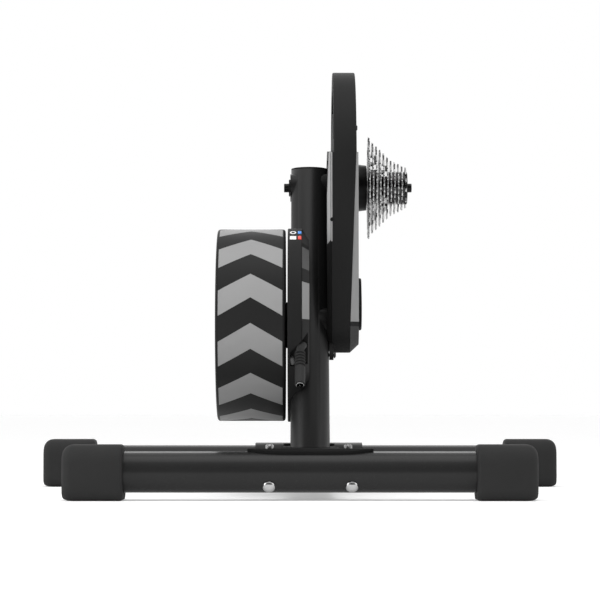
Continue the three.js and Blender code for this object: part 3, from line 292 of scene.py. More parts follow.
def flywheelPaint():
    paint = wheelPaint
    finish = Finish("flywheelPaint", Specular_IOR_Level=paint["gloss"])
    x, y, z = finish.axes(flywheelCentre)
    angle = z.maths("ARCTAN2", 0 - y) * (360 / fullTurn)
    drop = (x - paint["apexX"]).size() * (paint["dropDegrees"] / paint["halfWidth"])
    band = ((angle + paint["offset"] + drop) / paint["period"]).fraction() > 0.5
    painted = (x > paint["leftX"]) * (x < paint["rightX"])
    outer = (y * y + z * z) > paint["innerRadius"] ** 2
    cloud = finish.noise(*paint["cloud"])
    speckle = finish.noise(*paint["speckle"])
    rim = finish.mix(band, finish.greys(cloud, paint["dark"]), finish.greys(cloud, paint["light"]))
    finish.set(Base_Color=finish.mix(painted * outer, finish.greys(cloud, paint["edge"]), rim),
               Roughness=paint["rough"] + speckle * paint["roughRise"])
    finish.bump(speckle, *paint["bump"])
    return finish.material


print("finishes: classes ready")


# Grey bands on the covers' bevels, each from one height to another and at a level. A band starts to the right
# of fromX, ends left of toX, slants with x and stays away from the middle of the cover.
greyBands = {
    "brake": {"fromX": 2.0, "toX": 9.9, "slant": 0.0055, "middleY": 0, "clear": 0,
              "bands": [(241.3, 265.3, 84), (186.9, 226.6, 142), (270, 283, 48)]},
    "left": {"fromX": 29.2, "toX": 33.4, "slant": -0.0126, "middleY": 30, "clear": 88,
             "bands": [(271, 385, 160)]},
    "housing": {"fromX": 33.3, "toX": 35.0, "slant": 0, "middleY": 30, "clear": 88,
                "bands": [(274, 376, 160)]},
    "right": {"fromX": 54, "toX": 63.8, "slant": 0, "middleY": 0, "clear": 0,
              "bands": [(187, 395, 142), (100, 182, 62)]},
}
bevelLean = {"least": 0.08, "most": 0.985}  # how much of a bevel's normal lies along X


def coverGreys(name, which):
    finish, colour = grained(name, "mouldedShell")
    bands = greyBands[which]
    x, y, z = finish.axes()
    height = z + (x - bands["fromX"]) * (z - layout["flywheelZ"]) * bands["slant"]
    lean = signal(finish.tree, "ShaderNodeNewGeometry", output="True Normal").parts()[0].size()
    bevel = (lean > bevelLean["least"]) * (lean < bevelLean["most"])
    away = (y - bands["middleY"]).size() > bands["clear"]
    painted = (x > bands["fromX"]) * (x < bands["toX"]) * bevel * away
    for low, high, level in bands["bands"]:
        colour = finish.mix((height > low) * (height < high) * painted, colour, grey(level))
    finish.set(Base_Color=colour)
    return finish.material


# A plain white ring and bar beside the two lights: middle, half width, and half length round the rim
whiteMarks = {
    "x": -7.4, "halfWidth": 3.4, "ringLength": 5.1, "ringHole": 0.3, "barLength": 4.2, "radius": 105,
    "innerRadius": 103.5, "level": 235,
}


def markedShell():
    finish, colour = grained("markedShell", "mouldedShell")
    x, y, z = finish.axes(flywheelCentre)
    across = (x - whiteMarks["x"]) / whiteMarks["halfWidth"]
    along = (0 - y).maths("ARCTAN2", z) * whiteMarks["radius"]
    fromRing = (along - math.radians(lightBars["blue"]) * whiteMarks["radius"]) / whiteMarks["ringLength"]
    fromBar = (along - math.radians(lightBars["red"]) * whiteMarks["radius"]) / whiteMarks["barLength"]
    circle = across * across + fromRing * fromRing
    ring = (circle < 1) * (circle > whiteMarks["ringHole"])
    bar = (across.size() < 1) * (fromBar.size() < 1)
    outer = (y * y + z * z) > whiteMarks["innerRadius"] ** 2
    finish.set(Base_Color=finish.mix(ring.maths("MAXIMUM", bar) * outer, colour, grey(whiteMarks["level"])))
    return finish.material


# Shaping
fineness = {"merge": 0.002, "mergeCut": 0.0005, "flatDegrees": 0.6}
quarter = fullTurn / 4


def polar(radius, angle, centre=(0, 0)):
    return (centre[0] + radius * math.cos(angle), centre[1] + radius * math.sin(angle))


def arc(centre, radius, start, end, steps):
    return [polar(radius, start + (end - start) * i / steps, centre) for i in range(steps + 1)]


def addLoop(bm, points, closed=True):  # a chain of vertices and edges through points
    verts = [bm.verts.new(point) for point in points]
    edges = [bm.edges.new(pair) for pair in zip(verts, verts[1:])]
    if closed:
        edges.append(bm.edges.new((verts[-1], verts[0])))
    return verts, edges


def mendShell(bm):
    bmesh.ops.remove_doubles(bm, verts=bm.verts, dist=fineness["merge"])
    bmesh.ops.recalc_face_normals(bm, faces=bm.faces)


def turned(profile, steps=96, ring=False):  # a profile of (x, radius) corners, spun round the X axis
    bm = bmesh.new()
    points = [(x, 0, radius) for x, radius in profile]
    if not ring:
        points = [(profile[0][0], 0, 0), *points, (profile[-1][0], 0, 0)]
    verts, edges = addLoop(bm, points, closed=ring)
    bmesh.ops.spin(bm, geom=verts + edges, cent=(0, 0, 0), axis=(1, 0, 0), dvec=(0, 0, 0),
                   angle=fullTurn, steps=steps, use_merge=True, use_normal_flip=False, use_duplicate=False)
    mendShell(bm)
    return bm


def tube(outer, inner, leftX, rightX, steps=96):
    return turned([(leftX, outer), (rightX, outer), (rightX, inner), (leftX, inner)], steps, ring=True)


def disc(radius, leftX, rightX, steps=96):
    return turned([(leftX, radius), (rightX, radius)], steps)


def plate(outline, leftX, rightX):  # an outline of (y, z) corners, drawn out along X
    bm = bmesh.new()
    verts, _ = addLoop(bm, [(leftX, y, z) for y, z in outline])
    grown = bmesh.ops.extrude_face_region(bm, geom=[bm.faces.new(verts)])
    farSide = [item for item in grown["geom"] if isinstance(item, bmesh.types.BMVert)]
    bmesh.ops.translate(bm, verts=farSide, vec=(rightX - leftX, 0, 0))
    bmesh.ops.recalc_face_normals(bm, faces=bm.faces)
    return bm


def loft(rings):  # a closed skin through rings of equally many points
    bm = bmesh.new()
    loops = [addLoop(bm, ring) for ring in rings]
    for (_, first), (_, second) in zip(loops, loops[1:]):
        bmesh.ops.bridge_loops(bm, edges=first + second)
    for verts, _ in (loops[0], loops[-1]):
        bm.faces.new(verts)
    bmesh.ops.recalc_face_normals(bm, faces=bm.faces)
    return bm


def block(size, centre=(0, 0, 0)):
    bm = bmesh.new()
    bmesh.ops.create_cube(bm, size=1)
    bmesh.ops.scale(bm, vec=size, verts=bm.verts)
    bmesh.ops.translate(bm, vec=centre, verts=bm.verts)
    return bm


def moved(bm, matrix):
    bmesh.ops.transform(bm, matrix=matrix, verts=bm.verts)
    return bm


def shifted(bm, x=0, y=0, z=0):
    return moved(bm, Matrix.Translation((x, y, z)))


def rotatedX(bm, degrees):
    return moved(bm, Matrix.Rotation(math.radians(degrees), 4, "X"))


def combine(base, *tools, how="DIFFERENCE"):  # cuts, joins or intersects closed shells
    temporary = []
    for bm in (base, *tools):
        mesh = bpy.data.meshes.new("temporary")
        bm.to_mesh(mesh)
        bm.free()
        temporary.append(bpy.data.objects.new("temporary", mesh))
        collection.objects.link(temporary[-1])
    for tool in temporary[1:]:
        step = temporary[0].modifiers.new("step", "BOOLEAN")
        step.operation = how
        step.object = tool
        step.solver = "MANIFOLD"
    graph = bpy.context.evaluated_depsgraph_get()
    result = bmesh.new()
    result.from_mesh(temporary[0].evaluated_get(graph).to_mesh())
    for thing in temporary:
        mesh = thing.data
        bpy.data.objects.remove(thing)
        bpy.data.meshes.remove(mesh)
    bmesh.ops.remove_doubles(result, verts=result.verts, dist=fineness["mergeCut"])
    bmesh.ops.dissolve_degenerate(result, edges=result.edges, dist=fineness["mergeCut"])
    return result


def cut(base, *tools):
    return combine(base, *tools)


def join(base, *tools):
    return combine(base, *tools, how="UNION")


def common(base, *tools):
    return combine(base, *tools, how="INTERSECT")


def bevelEdges(bm, edges, width, segments=1):
    bmesh.ops.bevel(bm, geom=edges, offset=width, offset_type="OFFSET", segments=segments, profile=0.5,
                    affect="EDGES", material=-1, clamp_overlap=True)
    return bm


def soften(bm, width, segments=2, angle=35):  # rounds every edge that is sharper than an angle
    limit = math.radians(angle)
    sharp = [edge for edge in bm.edges if len(edge.link_faces) == 2 and edge.calc_face_angle(0) > limit]
    return bevelEdges(bm, sharp, width, segments)


def copyOf(node):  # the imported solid's own shape, merged, in millimetres
    bm = bmesh.new()
    bm.from_mesh(nodes[node].data)
    bmesh.ops.scale(bm, vec=(1 / millimetre,) * 3, verts=bm.verts)
    bmesh.ops.remove_doubles(bm, verts=bm.verts, dist=fineness["merge"])
    flat = math.radians(fineness["flatDegrees"])
    bmesh.ops.dissolve_limit(bm, angle_limit=flat, verts=bm.verts, edges=bm.edges)
    return bm


# One finished piece: its body, its material slot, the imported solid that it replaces, if any, the frame
# that it was shaped in, and the angle past which an edge stays sharp
def finishPiece(name, bm, finish, body, replaced=None, matrix=upright, angle=32):
    bmesh.ops.transform(bm, matrix=Matrix.Scale(millimetre, 4) @ matrix, verts=bm.verts)
    limit = math.radians(angle)
    for face in bm.faces:
        face.smooth = True
    for edge in bm.edges:
        edge.smooth = len(edge.link_faces) == 2 and edge.calc_face_angle(0) < limit
    mesh = bpy.data.meshes.new(name)
    bm.to_mesh(mesh)
    bm.free()
    mesh.materials.append(finish)
    piece = bpy.data.objects.new(name, mesh)
    collection.objects.link(piece)
    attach(piece, body)
    if replaced:
        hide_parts(replaced)


# Camera, floor and light
view = {"distance": 2630, "height": 91.8, "pitch": 2.67, "lens": 141.6, "sensor": 36, "farEnd": 50}


def buildCamera():
    lens = bpy.data.cameras.new("rearCamera")
    lens.sensor_width = view["sensor"]
    lens.lens = view["lens"]
    lens.clip_end = view["farEnd"]
    camera = bpy.data.objects.new("rearCamera", lens)
    camera.location = (0, -view["distance"] * millimetre, view["height"] * millimetre)
    camera.rotation_euler = (quarter + math.radians(view["pitch"]), 0, 0)
    collection.objects.link(camera)
    bpy.context.scene.camera = camera


aim = (0, 0, 0.2)  # where the lamps point, in metres as their places are
lamps = {
    "topLamp": {"place": (0.1, -0.5, 2.3), "size": (1.6, 1.6), "power": 9},
    "leftLamp": {"place": (-2.2, -0.7, 0.8), "size": (1.0, 2.0), "power": 16},
    "rightLamp": {"place": (2.3, -0.8, 0.9), "size": (0.8, 1.8), "power": 6},
    "rearLamp": {"place": (-0.5, -2.9, 1.0), "size": (1.8, 1.2), "power": 26},
    "frontLamp": {"place": (0.3, 2.6, 1.6), "size": (2.0, 1.4), "power": 7},
}
sky = {"strength": 1.3, "angle": 70, "turn": (8, -6, 0)}  # an even light from above
studio = {"floor": 0.8, "floorGlow": 0.32, "floorSize": 40, "ambient": 0.42}
darkRoom = {"level": 0.06, "from": -0.9, "to": -0.2}  # behind the camera, as mirrored in the trainer


def buildLamps():
    for name, lamp in lamps.items():
        light = bpy.data.lights.new(name, "AREA")
        light.shape = "RECTANGLE"
        light.size, light.size_y = lamp["size"]
        light.energy = lamp["power"]
        holder = bpy.data.objects.new(name, light)
        holder.location = lamp["place"]
        towards = Vector(aim) - Vector(lamp["place"])
        holder.rotation_euler = towards.to_track_quat("-Z", "Y").to_euler()
        holder.visible_glossy = name != "rearLamp"
        collection.objects.link(holder)
    light = bpy.data.lights.new("skyLamp", "SUN")
    light.energy = sky["strength"]
    light.angle = math.radians(sky["angle"])
    holder = bpy.data.objects.new("skyLamp", light)
    holder.rotation_euler = tuple(math.radians(turn) for turn in sky["turn"])
    holder.visible_glossy = False
    collection.objects.link(holder)


def buildWorld():
    world = bpy.data.worlds.new("studioWorld")
    world.use_nodes = True
    bpy.context.scene.world = world
    tree = world.node_tree
    path = addNode(tree, "ShaderNodeLightPath")
    seen = Signal(path.outputs["Is Camera Ray"]).maths("MAXIMUM", Signal(path.outputs["Is Transmission Ray"]))
    mirrored = Signal(path.outputs["Is Glossy Ray"])
    forward = signal(tree, "ShaderNodeTexCoord", output="Generated").parts()[1]
    ahead = (forward - darkRoom["from"]).maths("DIVIDE", darkRoom["to"] - darkRoom["from"], clamp=True)
    mirror = darkRoom["level"] + ahead * (1 - darkRoom["level"])
    unseen = mirrored * mirror + (1 - mirrored) * studio["ambient"]
    background = tree.nodes["Background"]
    plug(background.inputs["Color"], (1, 1, 1))
    plug(background.inputs["Strength"], seen + (1 - seen) * unseen)


def buildFloor():
    bm = bmesh.new()
    bmesh.ops.create_grid(bm, x_segments=1, y_segments=1, size=studio["floorSize"])
    mesh = bpy.data.meshes.new("floor")
    bm.to_mesh(mesh)
    bm.free()
    floor = bpy.data.objects.new("floor", mesh)
    collection.objects.link(floor)
    material = bpy.data.materials.new("floorPaint")
    material.use_nodes = True
    tree = material.node_tree
    tree.nodes.clear()
    matte = signal(tree, "ShaderNodeBsdfDiffuse", inputs={"Color": (studio["floor"],) * 3})
    path = addNode(tree, "ShaderNodeLightPath")
    seen = Signal(path.outputs["Is Camera Ray"]).maths("MAXIMUM", Signal(path.outputs["Is Glossy Ray"]))
    glow = signal(tree, "ShaderNodeEmission", inputs={"Strength": seen * studio["floorGlow"]})
    both = signal(tree, "ShaderNodeAddShader", inputs={0: matte, 1: glow})
    addNode(tree, "ShaderNodeOutputMaterial", inputs={"Surface": both})
    mesh.materials.append(material)


buildCamera()
buildLamps()
buildWorld()
buildFloor()
bpy.context.scene.view_settings.view_transform = "Standard"
print("stage: camera, lamps and floor placed")

coat = plainCovering("powderCoat")
plateCoat = plainCovering("plateCoat")
legCoat = plainCovering("legCoat")
shell = plainCovering("mouldedShell")
rubber = plainCovering("footRubber")
fastener = brightSteel("brightSteel", 185, 0.16)
dullSteel = brightSteel("dullSteel", 150, 0.3)
print("finishes: made")


# Legs
leg = {
    "radius": 20.9, "wall": 2.5, "trackY": 222.6, "axisZ": 28.7,
    "halfSpan": {"rear": 240.9, "front": 307.6}, "spacing": {"rear": 84, "front": 94},
}
foot = {
    "length": 61.7, "height": 56.9, "depth": 58, "topRadius": 19, "bottomRadius": 12, "outerRadius": 11,
    "innerRadius": 4, "endWall": 8, "lowShare": 0.4, "outerSteps": 11, "innerSteps": 5,
}
legBolt = {
    "radius": 3, "headRadius": 6.7, "headHeight": 4.6, "headEdge": 0.5, "domeSteps": 12, "tilt": 42,
    "inLeg": 4, "nutFlats": 10, "nutHeight": 5, "tip": 2.6, "saddleWall": 2.8, "threadPitch": 1.0,
}
# One turn of a thread, as shares of its pitch and of the rod's radius
threadShares = {"start": 0.94, "crest": (0.25, 0.6), "root": (0.85, 0.88), "tip": (0.3, 0.6)}
# How a nut's corners are rounded: the shares are of its width across flats
nutDome = {"share": 0.56, "topShare": 0.47, "shoulder": 1.2, "over": 0.1}


def legFrame(kind):
    turn = 0 if kind == "rear" else math.pi
    side = -1 if kind == "rear" else 1
    place = Matrix.Translation((0, side * leg["trackY"], leg["axisZ"]))
    return place @ Matrix.Rotation(turn, 4, "Z"), layout["postX"] * (1 if kind == "rear" else -1)


def roundedSection(half, low, high, lowRadius, highRadius, steps=8):
    corners = [
        (half - highRadius, high - highRadius, highRadius),
        (highRadius - half, high - highRadius, highRadius),
        (lowRadius - half, low + lowRadius, lowRadius), (half - lowRadius, low + lowRadius, lowRadius)]
    points = []
    for turn, (y, z, radius) in enumerate(corners):
        points += arc((y, z), radius, turn * quarter, (turn + 1) * quarter, steps)
    return points


def roundedEnd(radius, steps):  # how far a rounded end lies back from its face and from its side
    angles = [i / steps * quarter for i in range(steps + 1)]
    return [(radius * (1 - math.cos(angle)), radius * (1 - math.sin(angle))) for angle in angles]


def footShape():
    stations = roundedEnd(foot["innerRadius"], foot["innerSteps"])
    for back, inset in reversed(roundedEnd(foot["outerRadius"], foot["outerSteps"])):
        stations.append((foot["length"] - back, inset))
    rings = []
    for x, inset in stations:
        low = inset * foot["lowShare"]
        section = roundedSection(foot["depth"] / 2 - inset, low, foot["height"] - inset,
                                 foot["bottomRadius"] - low, foot["topRadius"] - inset)
        rings.append([(x, y, z) for y, z in section])
    bore = disc(leg["radius"] + gap["seat"], -gap["over"], foot["length"] - foot["endWall"])
    return cut(loft(rings), shifted(bore, z=leg["axisZ"]))


def threadedRod(radius, start, end, pitch):  # the profile of a rod with shallow grooves, along X
    profile = [(start, radius * threadShares["start"])]
    crestFrom, crestTo = threadShares["crest"]
    rootAt, root = threadShares["root"]
    tipLength, tip = threadShares["tip"]
    for i in range(int((end - start) / pitch)):
        x = start + i * pitch
        profile += [(x + pitch * crestFrom, radius), (x + pitch * crestTo, radius),
                    (x + pitch * rootAt, radius * root)]
    return [*profile, (end - radius * tipLength, radius * root), (end, radius * tip)]


def legBoltShape():
    seat = -leg["radius"] - gap["seat"]
    dome = []
    for i in range(1, legBolt["domeSteps"]):
        angle = i * quarter / legBolt["domeSteps"]
        dome.append((seat - legBolt["headHeight"] * math.cos(angle), legBolt["headRadius"] * math.sin(angle)))
    tip = leg["radius"] + 2 * gap["seat"] + legBolt["saddleWall"] + legBolt["nutHeight"] + legBolt["tip"]
    rod = threadedRod(legBolt["radius"], leg["radius"] - legBolt["inLeg"], tip, legBolt["threadPitch"])
    return turned([*dome, (seat - legBolt["headEdge"], legBolt["headRadius"]), (seat, legBolt["headRadius"]),
                   (seat, legBolt["radius"]), *rod], 48)


def nutShape(acrossFlats, thickness, bore):
    over, wide = nutDome["over"], acrossFlats * nutDome["share"]
    nut = disc(acrossFlats / math.sqrt(3), 0, thickness, 6)
    dome = turned([(-over, wide), (thickness - nutDome["shoulder"], wide),
                   (thickness + over, acrossFlats * nutDome["topShare"])], 48)
    return cut(common(nut, dome), disc(bore, -gap["over"], thickness + gap["over"], 48))


def alongBolt(bm):
    return rotatedX(moved(bm, Matrix.Rotation(quarter, 4, "Z")), legBolt["tilt"])


def buildLegs():
    for kind in ("rear", "front"):
        place, middleX = legFrame(kind)
        half = leg["halfSpan"][kind] - foot["endWall"] - gap["seat"]
        boltSteel = fastener if kind == "rear" else dullSteel
        bar = tube(leg["radius"], leg["radius"] - leg["wall"], -half, half)
        finishPiece(kind + "LegTube", bar, legCoat, "root", kind + "_leg_tube", place)
        for side in (-1, 1):
            name = "right" if (side > 0) == (kind == "rear") else "left"
            spin = Matrix.Rotation(0 if side > 0 else math.pi, 4, "Z")
            move = Matrix.Translation((side * (leg["halfSpan"][kind] - foot["length"]), 0, -leg["axisZ"]))
            finishPiece(f"{kind}Foot{name.title()}", footShape(), rubber, "root",
                        f"{kind}_foot_{name}", place @ move @ spin)
            boltX = middleX + side * leg["spacing"][kind] / 2
            spot = place @ Matrix.Translation((boltX, 0, 0))
            finishPiece(f"{kind}LegBolt{name.title()}", alongBolt(legBoltShape()), boltSteel, "root",
                        f"{kind}_leg_bolt_{name}", spot)
            nut = nutShape(legBolt["nutFlats"], legBolt["nutHeight"], legBolt["radius"] + gap["seat"])
            nut = shifted(nut, x=leg["radius"] + 2 * gap["seat"] + legBolt["saddleWall"])
            finishPiece(f"{kind}LegNut{name.title()}", alongBolt(nut), boltSteel, "root",
                        f"{kind}_leg_nut_{name}", spot)
    print("legs: tubes, feet and bolts made")


# Saddles, spine and post
post = {
    "radius": 20.65, "wall": 3, "topZ": 366.5, "footZ": 53.0, "hubTube": 15.7, "hubLeft": -11,
    "hubRight": 35.6, "shaftTube": 18.5, "shaftRight": 35.4, "spigot": 25, "spigotLeft": -62,
    "spigotRight": -10.4, "bearing": 16.3, "bearingDepth": 9.3, "bore": 13, "axleBore": 7.8, "far": 290,
    "slab": (400, 1200), "round": 0.35,
}
lowerScrew = {"bore": 2.3, "depth": 40, "z": -41}  # holds the belt housing to the post
saddleEdge = {"half": 64.25, "reach": 2.5, "swell": 8.5, "power": 5, "steps": 24, "depth": 60}
postCap = {"rim": 1.6, "insert": 4.7, "overlap": 0.5, "round": 0.6}
# The saddles, the spine and the idler's bracket
bentPlate = {"round": 0.3, "sharpAngle": 50, "smoothAngle": 28}


def postRod(radius):
    rod = disc(radius, -post["far"], post["far"])
    return shifted(moved(rod, Matrix.Rotation(-quarter, 4, "Y")), x=layout["postX"])


def levelSlab(low, high):  # everything between two heights, in the post's frame
    slab = block((*post["slab"], high - low), (layout["postX"], 0, (low + high) / 2))
    return moved(slab, leaning.inverted())


def behindSaddleEdge():  # what the rear saddle's outer edge is trimmed with
    half, outside = saddleEdge["half"], saddleEdge["half"] + gap["over"]
    edge = []
    for i in range(saddleEdge["steps"] + 1):
        share = 2 * i / saddleEdge["steps"] - 1
        swell = saddleEdge["swell"] * (1 - abs(share) ** saddleEdge["power"])
        edge.append((half * share, -leg["trackY"] - saddleEdge["reach"] - swell))
    endY = edge[0][1]
    farY = endY - saddleEdge["depth"]
    outline = [*edge, (outside, endY), (outside, farY), (-outside, farY), (-outside, endY)]
    return shifted(loft([[(x, y, z) for x, y in outline] for z in (0, 2 * leg["axisZ"])]), x=layout["postX"])


def buildPost():
    over, lift = gap["over"], layout["shaftDistance"]
    innerRadius = post["radius"] - post["wall"]
    skin = common(cut(postRod(post["radius"]), postRod(innerRadius)), levelSlab(post["footZ"], post["topZ"]))
    hubTube = shifted(disc(post["hubTube"], post["hubLeft"], post["hubRight"]), z=lift)
    shaftTube = turned([(post["spigotLeft"], post["spigot"]), (post["spigotRight"], post["spigot"]),
                        (post["spigotRight"], post["shaftTube"]), (post["shaftRight"], post["shaftTube"])])
    seatLeft, seatRight = post["spigotLeft"] + post["bearingDepth"], post["shaftRight"] - post["bearingDepth"]
    bores = turned([(post["spigotLeft"] - over, post["bearing"]), (seatLeft, post["bearing"]),
                    (seatLeft, post["bore"]), (seatRight, post["bore"]),
                    (seatRight, post["bearing"]), (post["shaftRight"] + over, post["bearing"])])
    axleBore = shifted(disc(post["axleBore"], post["hubLeft"] - over, post["hubRight"] + over), z=lift)
    screwHole = disc(lowerScrew["bore"], layout["postX"], layout["postX"] + lowerScrew["depth"], 24)
    body = cut(join(skin, hubTube, shaftTube), bores, axleBore, shifted(screwHole, z=lowerScrew["z"]))
    finishPiece("mainPost", soften(body, post["round"]), coat, "root", "main_post",
                leaning)
    capZ = post["topZ"] + gap["seat"]
    lid = soften(common(postRod(post["radius"]), levelSlab(capZ, capZ + postCap["rim"])), postCap["round"], 3)
    insert = common(postRod(innerRadius - gap["seat"]),
                    levelSlab(post["topZ"] - postCap["insert"], capZ + postCap["overlap"]))
    finishPiece("postCap", join(lid, insert), shell, "root", "post_cap", leaning)
    for node, name, finish in (
            ("rear_saddle", "rearSaddle", plateCoat), ("front_saddle", "frontSaddle", coat),
            ("base_spine", "baseSpine", plateCoat)):
        bent = copyOf(node)
        if name == "rearSaddle":
            bent = cut(bent, behindSaddleEdge())
        bent = soften(bent, bentPlate["round"], angle=bentPlate["sharpAngle"])
        finishPiece(name, bent, finish, "root", node, angle=bentPlate["smoothAngle"])
    print("post: post, cap, saddles and spine made")


buildLegs()
buildPost()


# Flywheel and brake
flywheel = {
    "radius": 104, "leftX": -89, "rightX": -15.5, "rim": 12, "web": 6, "webInset": 8.5, "edge": 3,
    "rimEdge": 0.8, "hubRadius": 20, "hubLength": 17, "bore": 7.8, "fillet": 4, "panel": 1.2,
    "panelRadius": 30, "panelSlope": 2, "panelMargin": 12,
}
eddyRing = {"thickness": 2.4, "halfWidth": 17, "round": 0.3}
brakeCore = {
    "radius": 88.6, "width": 22, "lip": 5, "grooveWidth": 12, "grooveDepth": 22, "rightX": -28,
    "holes": 4, "holeRadius": 14, "holeCircle": 44, "poles": 20, "slotWidth": 5, "slotDepth": 9, "wires": 12,
    "round": 0.4,
}
shaft = {
    "radius": 7.5, "leftX": -88.5, "rightX": 58.5, "threadLeft": -88, "threadRight": -80, "threadPitch": 1.25,
    "runOut": 0.5, "ends": (5.8, 6.5), "endWidth": 0.2, "edge": 1, "nutFlats": 22, "nut": 7,
}
bearing = {
    "radius": 16, "bore": 7.8, "width": 9, "race": 2.6, "shieldDrop": 0.6, "shieldEdge": 0.2,
    "outerEdge": 0.5, "boreEdge": 0.4, "hubLeft": 37.3, "hubRight": 66.2,
}


def flywheelShape():
    edge, radius, inner = flywheel["edge"], flywheel["radius"], flywheel["radius"] - flywheel["rim"]
    left, right = flywheel["leftX"], flywheel["rightX"]
    webLeft = left + flywheel["webInset"]
    webRight, hubRight = webLeft + flywheel["web"], webLeft + flywheel["hubLength"]
    fillet, hubRadius, bevel = flywheel["fillet"], flywheel["hubRadius"], flywheel["rimEdge"]
    panel, panelRadius = flywheel["panel"], flywheel["panelRadius"]
    profile = [
        (left, inner + bevel), *arc((left + edge, radius - edge), edge, 2 * quarter, quarter, 6),
        *arc((right - edge, radius - edge), edge, quarter, 0, 6),
        (right, inner + bevel), (right - bevel, inner),
        *arc((webRight + fillet, inner - fillet), fillet, quarter, 2 * quarter, 5),
        *arc((webRight + fillet, hubRadius + fillet), fillet, 2 * quarter, 3 * quarter, 5),
        (hubRight - bevel, hubRadius), (hubRight, hubRadius - bevel), (hubRight, flywheel["bore"]),
        (webLeft, flywheel["bore"]), (webLeft, panelRadius),
        (webLeft + panel, panelRadius + flywheel["panelSlope"]),
        (webLeft + panel, inner - flywheel["panelMargin"]),
        *arc((webLeft - fillet + panel, inner - fillet), fillet, 0, quarter, 5), (left + bevel, inner)]
    return turned(profile, 160, ring=True)


def nutDisc(acrossFlats, left, right, bore):
    nut = nutShape(acrossFlats, right - left, bore)
    return shifted(moved(nut, Matrix.Rotation(math.pi, 4, "Z")), x=right)


def bearingShape(left):  # two races, a shield between them
    right, outer, inner = left + bearing["width"], bearing["radius"], bearing["bore"]
    edge, boreEdge, drop = bearing["outerEdge"], bearing["boreEdge"], bearing["shieldDrop"]
    outerRace, innerRace = outer - bearing["race"], inner + bearing["race"]
    shieldTop, shieldFoot = outerRace - bearing["shieldEdge"], innerRace + bearing["shieldEdge"]
    profile = [
        (left + edge, outer), (right - edge, outer), (right, outer - edge), (right, outerRace),
        (right - drop, shieldTop), (right - drop, shieldFoot), (right, innerRace), (right, inner + boreEdge),
        (right - boreEdge, inner), (left + boreEdge, inner), (left, inner + boreEdge), (left, innerRace),
        (left + drop, shieldFoot), (left + drop, shieldTop), (left, outerRace), (left, outer - edge)]
    return turned(profile, 64, ring=True)


def brakeCoreShape():
    left, right, over = brakeCore["rightX"] - brakeCore["width"], brakeCore["rightX"], gap["over"]
    middle = (left + right) / 2
    body = tube(brakeCore["radius"], post["spigot"] + gap["seat"], left, right, 120)
    groove = tube(brakeCore["radius"] + over, brakeCore["radius"] - brakeCore["grooveDepth"],
                  middle - brakeCore["grooveWidth"] / 2, middle + brakeCore["grooveWidth"] / 2, 120)
    tools = [groove]
    for i in range(brakeCore["holes"]):
        hole = disc(brakeCore["holeRadius"], left - over, right + over, 40)
        tools.append(rotatedX(shifted(hole, z=brakeCore["holeCircle"]), 360 * i / brakeCore["holes"]))
    for i in range(brakeCore["poles"]):
        slot = block((brakeCore["width"] + 2 * over, brakeCore["slotWidth"], brakeCore["slotDepth"]),
                     (middle, 0, brakeCore["radius"]))
        tools.append(rotatedX(slot, 360 * (i + 0.5) / brakeCore["poles"]))
    return soften(cut(body, *tools), brakeCore["round"], 1)


def coilShape():  # a wound ring: its outside is a stack of wire turns
    left = brakeCore["rightX"] - brakeCore["width"] / 2 - brakeCore["grooveWidth"] / 2 + gap["seat"]
    right = left + brakeCore["grooveWidth"] - 2 * gap["seat"]
    outer = brakeCore["radius"] - brakeCore["lip"] - gap["seat"]
    inner = brakeCore["radius"] - brakeCore["grooveDepth"] + gap["seat"]
    wire = (right - left) / brakeCore["wires"]
    profile = []
    for i in range(brakeCore["wires"]):
        profile += arc((left + (i + 0.5) * wire, outer - wire / 2), wire / 2, math.pi, 0, 4)
    return turned([*profile, (right, inner), (left, inner)], 96, ring=True)


def buildFlywheel():
    finishPiece("flywheelRim", flywheelShape(), wheel, "flywheel", "flywheel", leaning)
    liner = flywheel["radius"] - flywheel["rim"] - gap["seat"]
    middle = brakeCore["rightX"] - brakeCore["width"] / 2
    ring = tube(liner, liner - eddyRing["thickness"], middle - eddyRing["halfWidth"],
                middle + eddyRing["halfWidth"], 120)
    ring = soften(ring, eddyRing["round"], 1)
    finishPiece("eddyRing", ring, copper, "flywheel", "eddy_ring", leaning)
    radius, right = shaft["radius"], shaft["rightX"]
    thread = threadedRod(radius, shaft["threadLeft"], shaft["threadRight"], shaft["threadPitch"])[:-2]
    rod = turned([(shaft["leftX"] + shaft["endWidth"], shaft["ends"][0]), (shaft["leftX"], shaft["ends"][1]),
                  *thread, (shaft["threadRight"] + shaft["runOut"], radius), (right - shaft["edge"], radius),
                  (right, radius - shaft["edge"])], 64)
    finishPiece("flywheelShaft", rod, ground, "flywheel", "flywheel_shaft", leaning)
    nutRight = flywheel["leftX"] + flywheel["webInset"] - gap["seat"]
    nut = nutDisc(shaft["nutFlats"], nutRight - shaft["nut"], nutRight, radius + gap["seat"])
    finishPiece("flywheelNut", nut, ground, "flywheel", "flywheel_nut", leaning)
    finishPiece("brakeCore", brakeCoreShape(), ground, "root", "brake_core", leaning)
    finishPiece("brakeCoil", coilShape(), copper, "root", "brake_coil", leaning, angle=60)
    for name, node, left, matrix in (
            ("flywheelBearingLeft", "flywheel_bearing_left", post["spigotLeft"], leaning),
            ("flywheelBearingRight", "flywheel_bearing_right", post["shaftRight"] - bearing["width"],
             leaning),
            ("hubBearingLeft", "hub_bearing_left", bearing["hubLeft"], axleLine),
            ("hubBearingRight", "hub_bearing_right", bearing["hubRight"], axleLine)):
        finishPiece(name, bearingShape(left), ground, "root", node, matrix)
    print("flywheel: rim, shaft, brake core and bearings made")


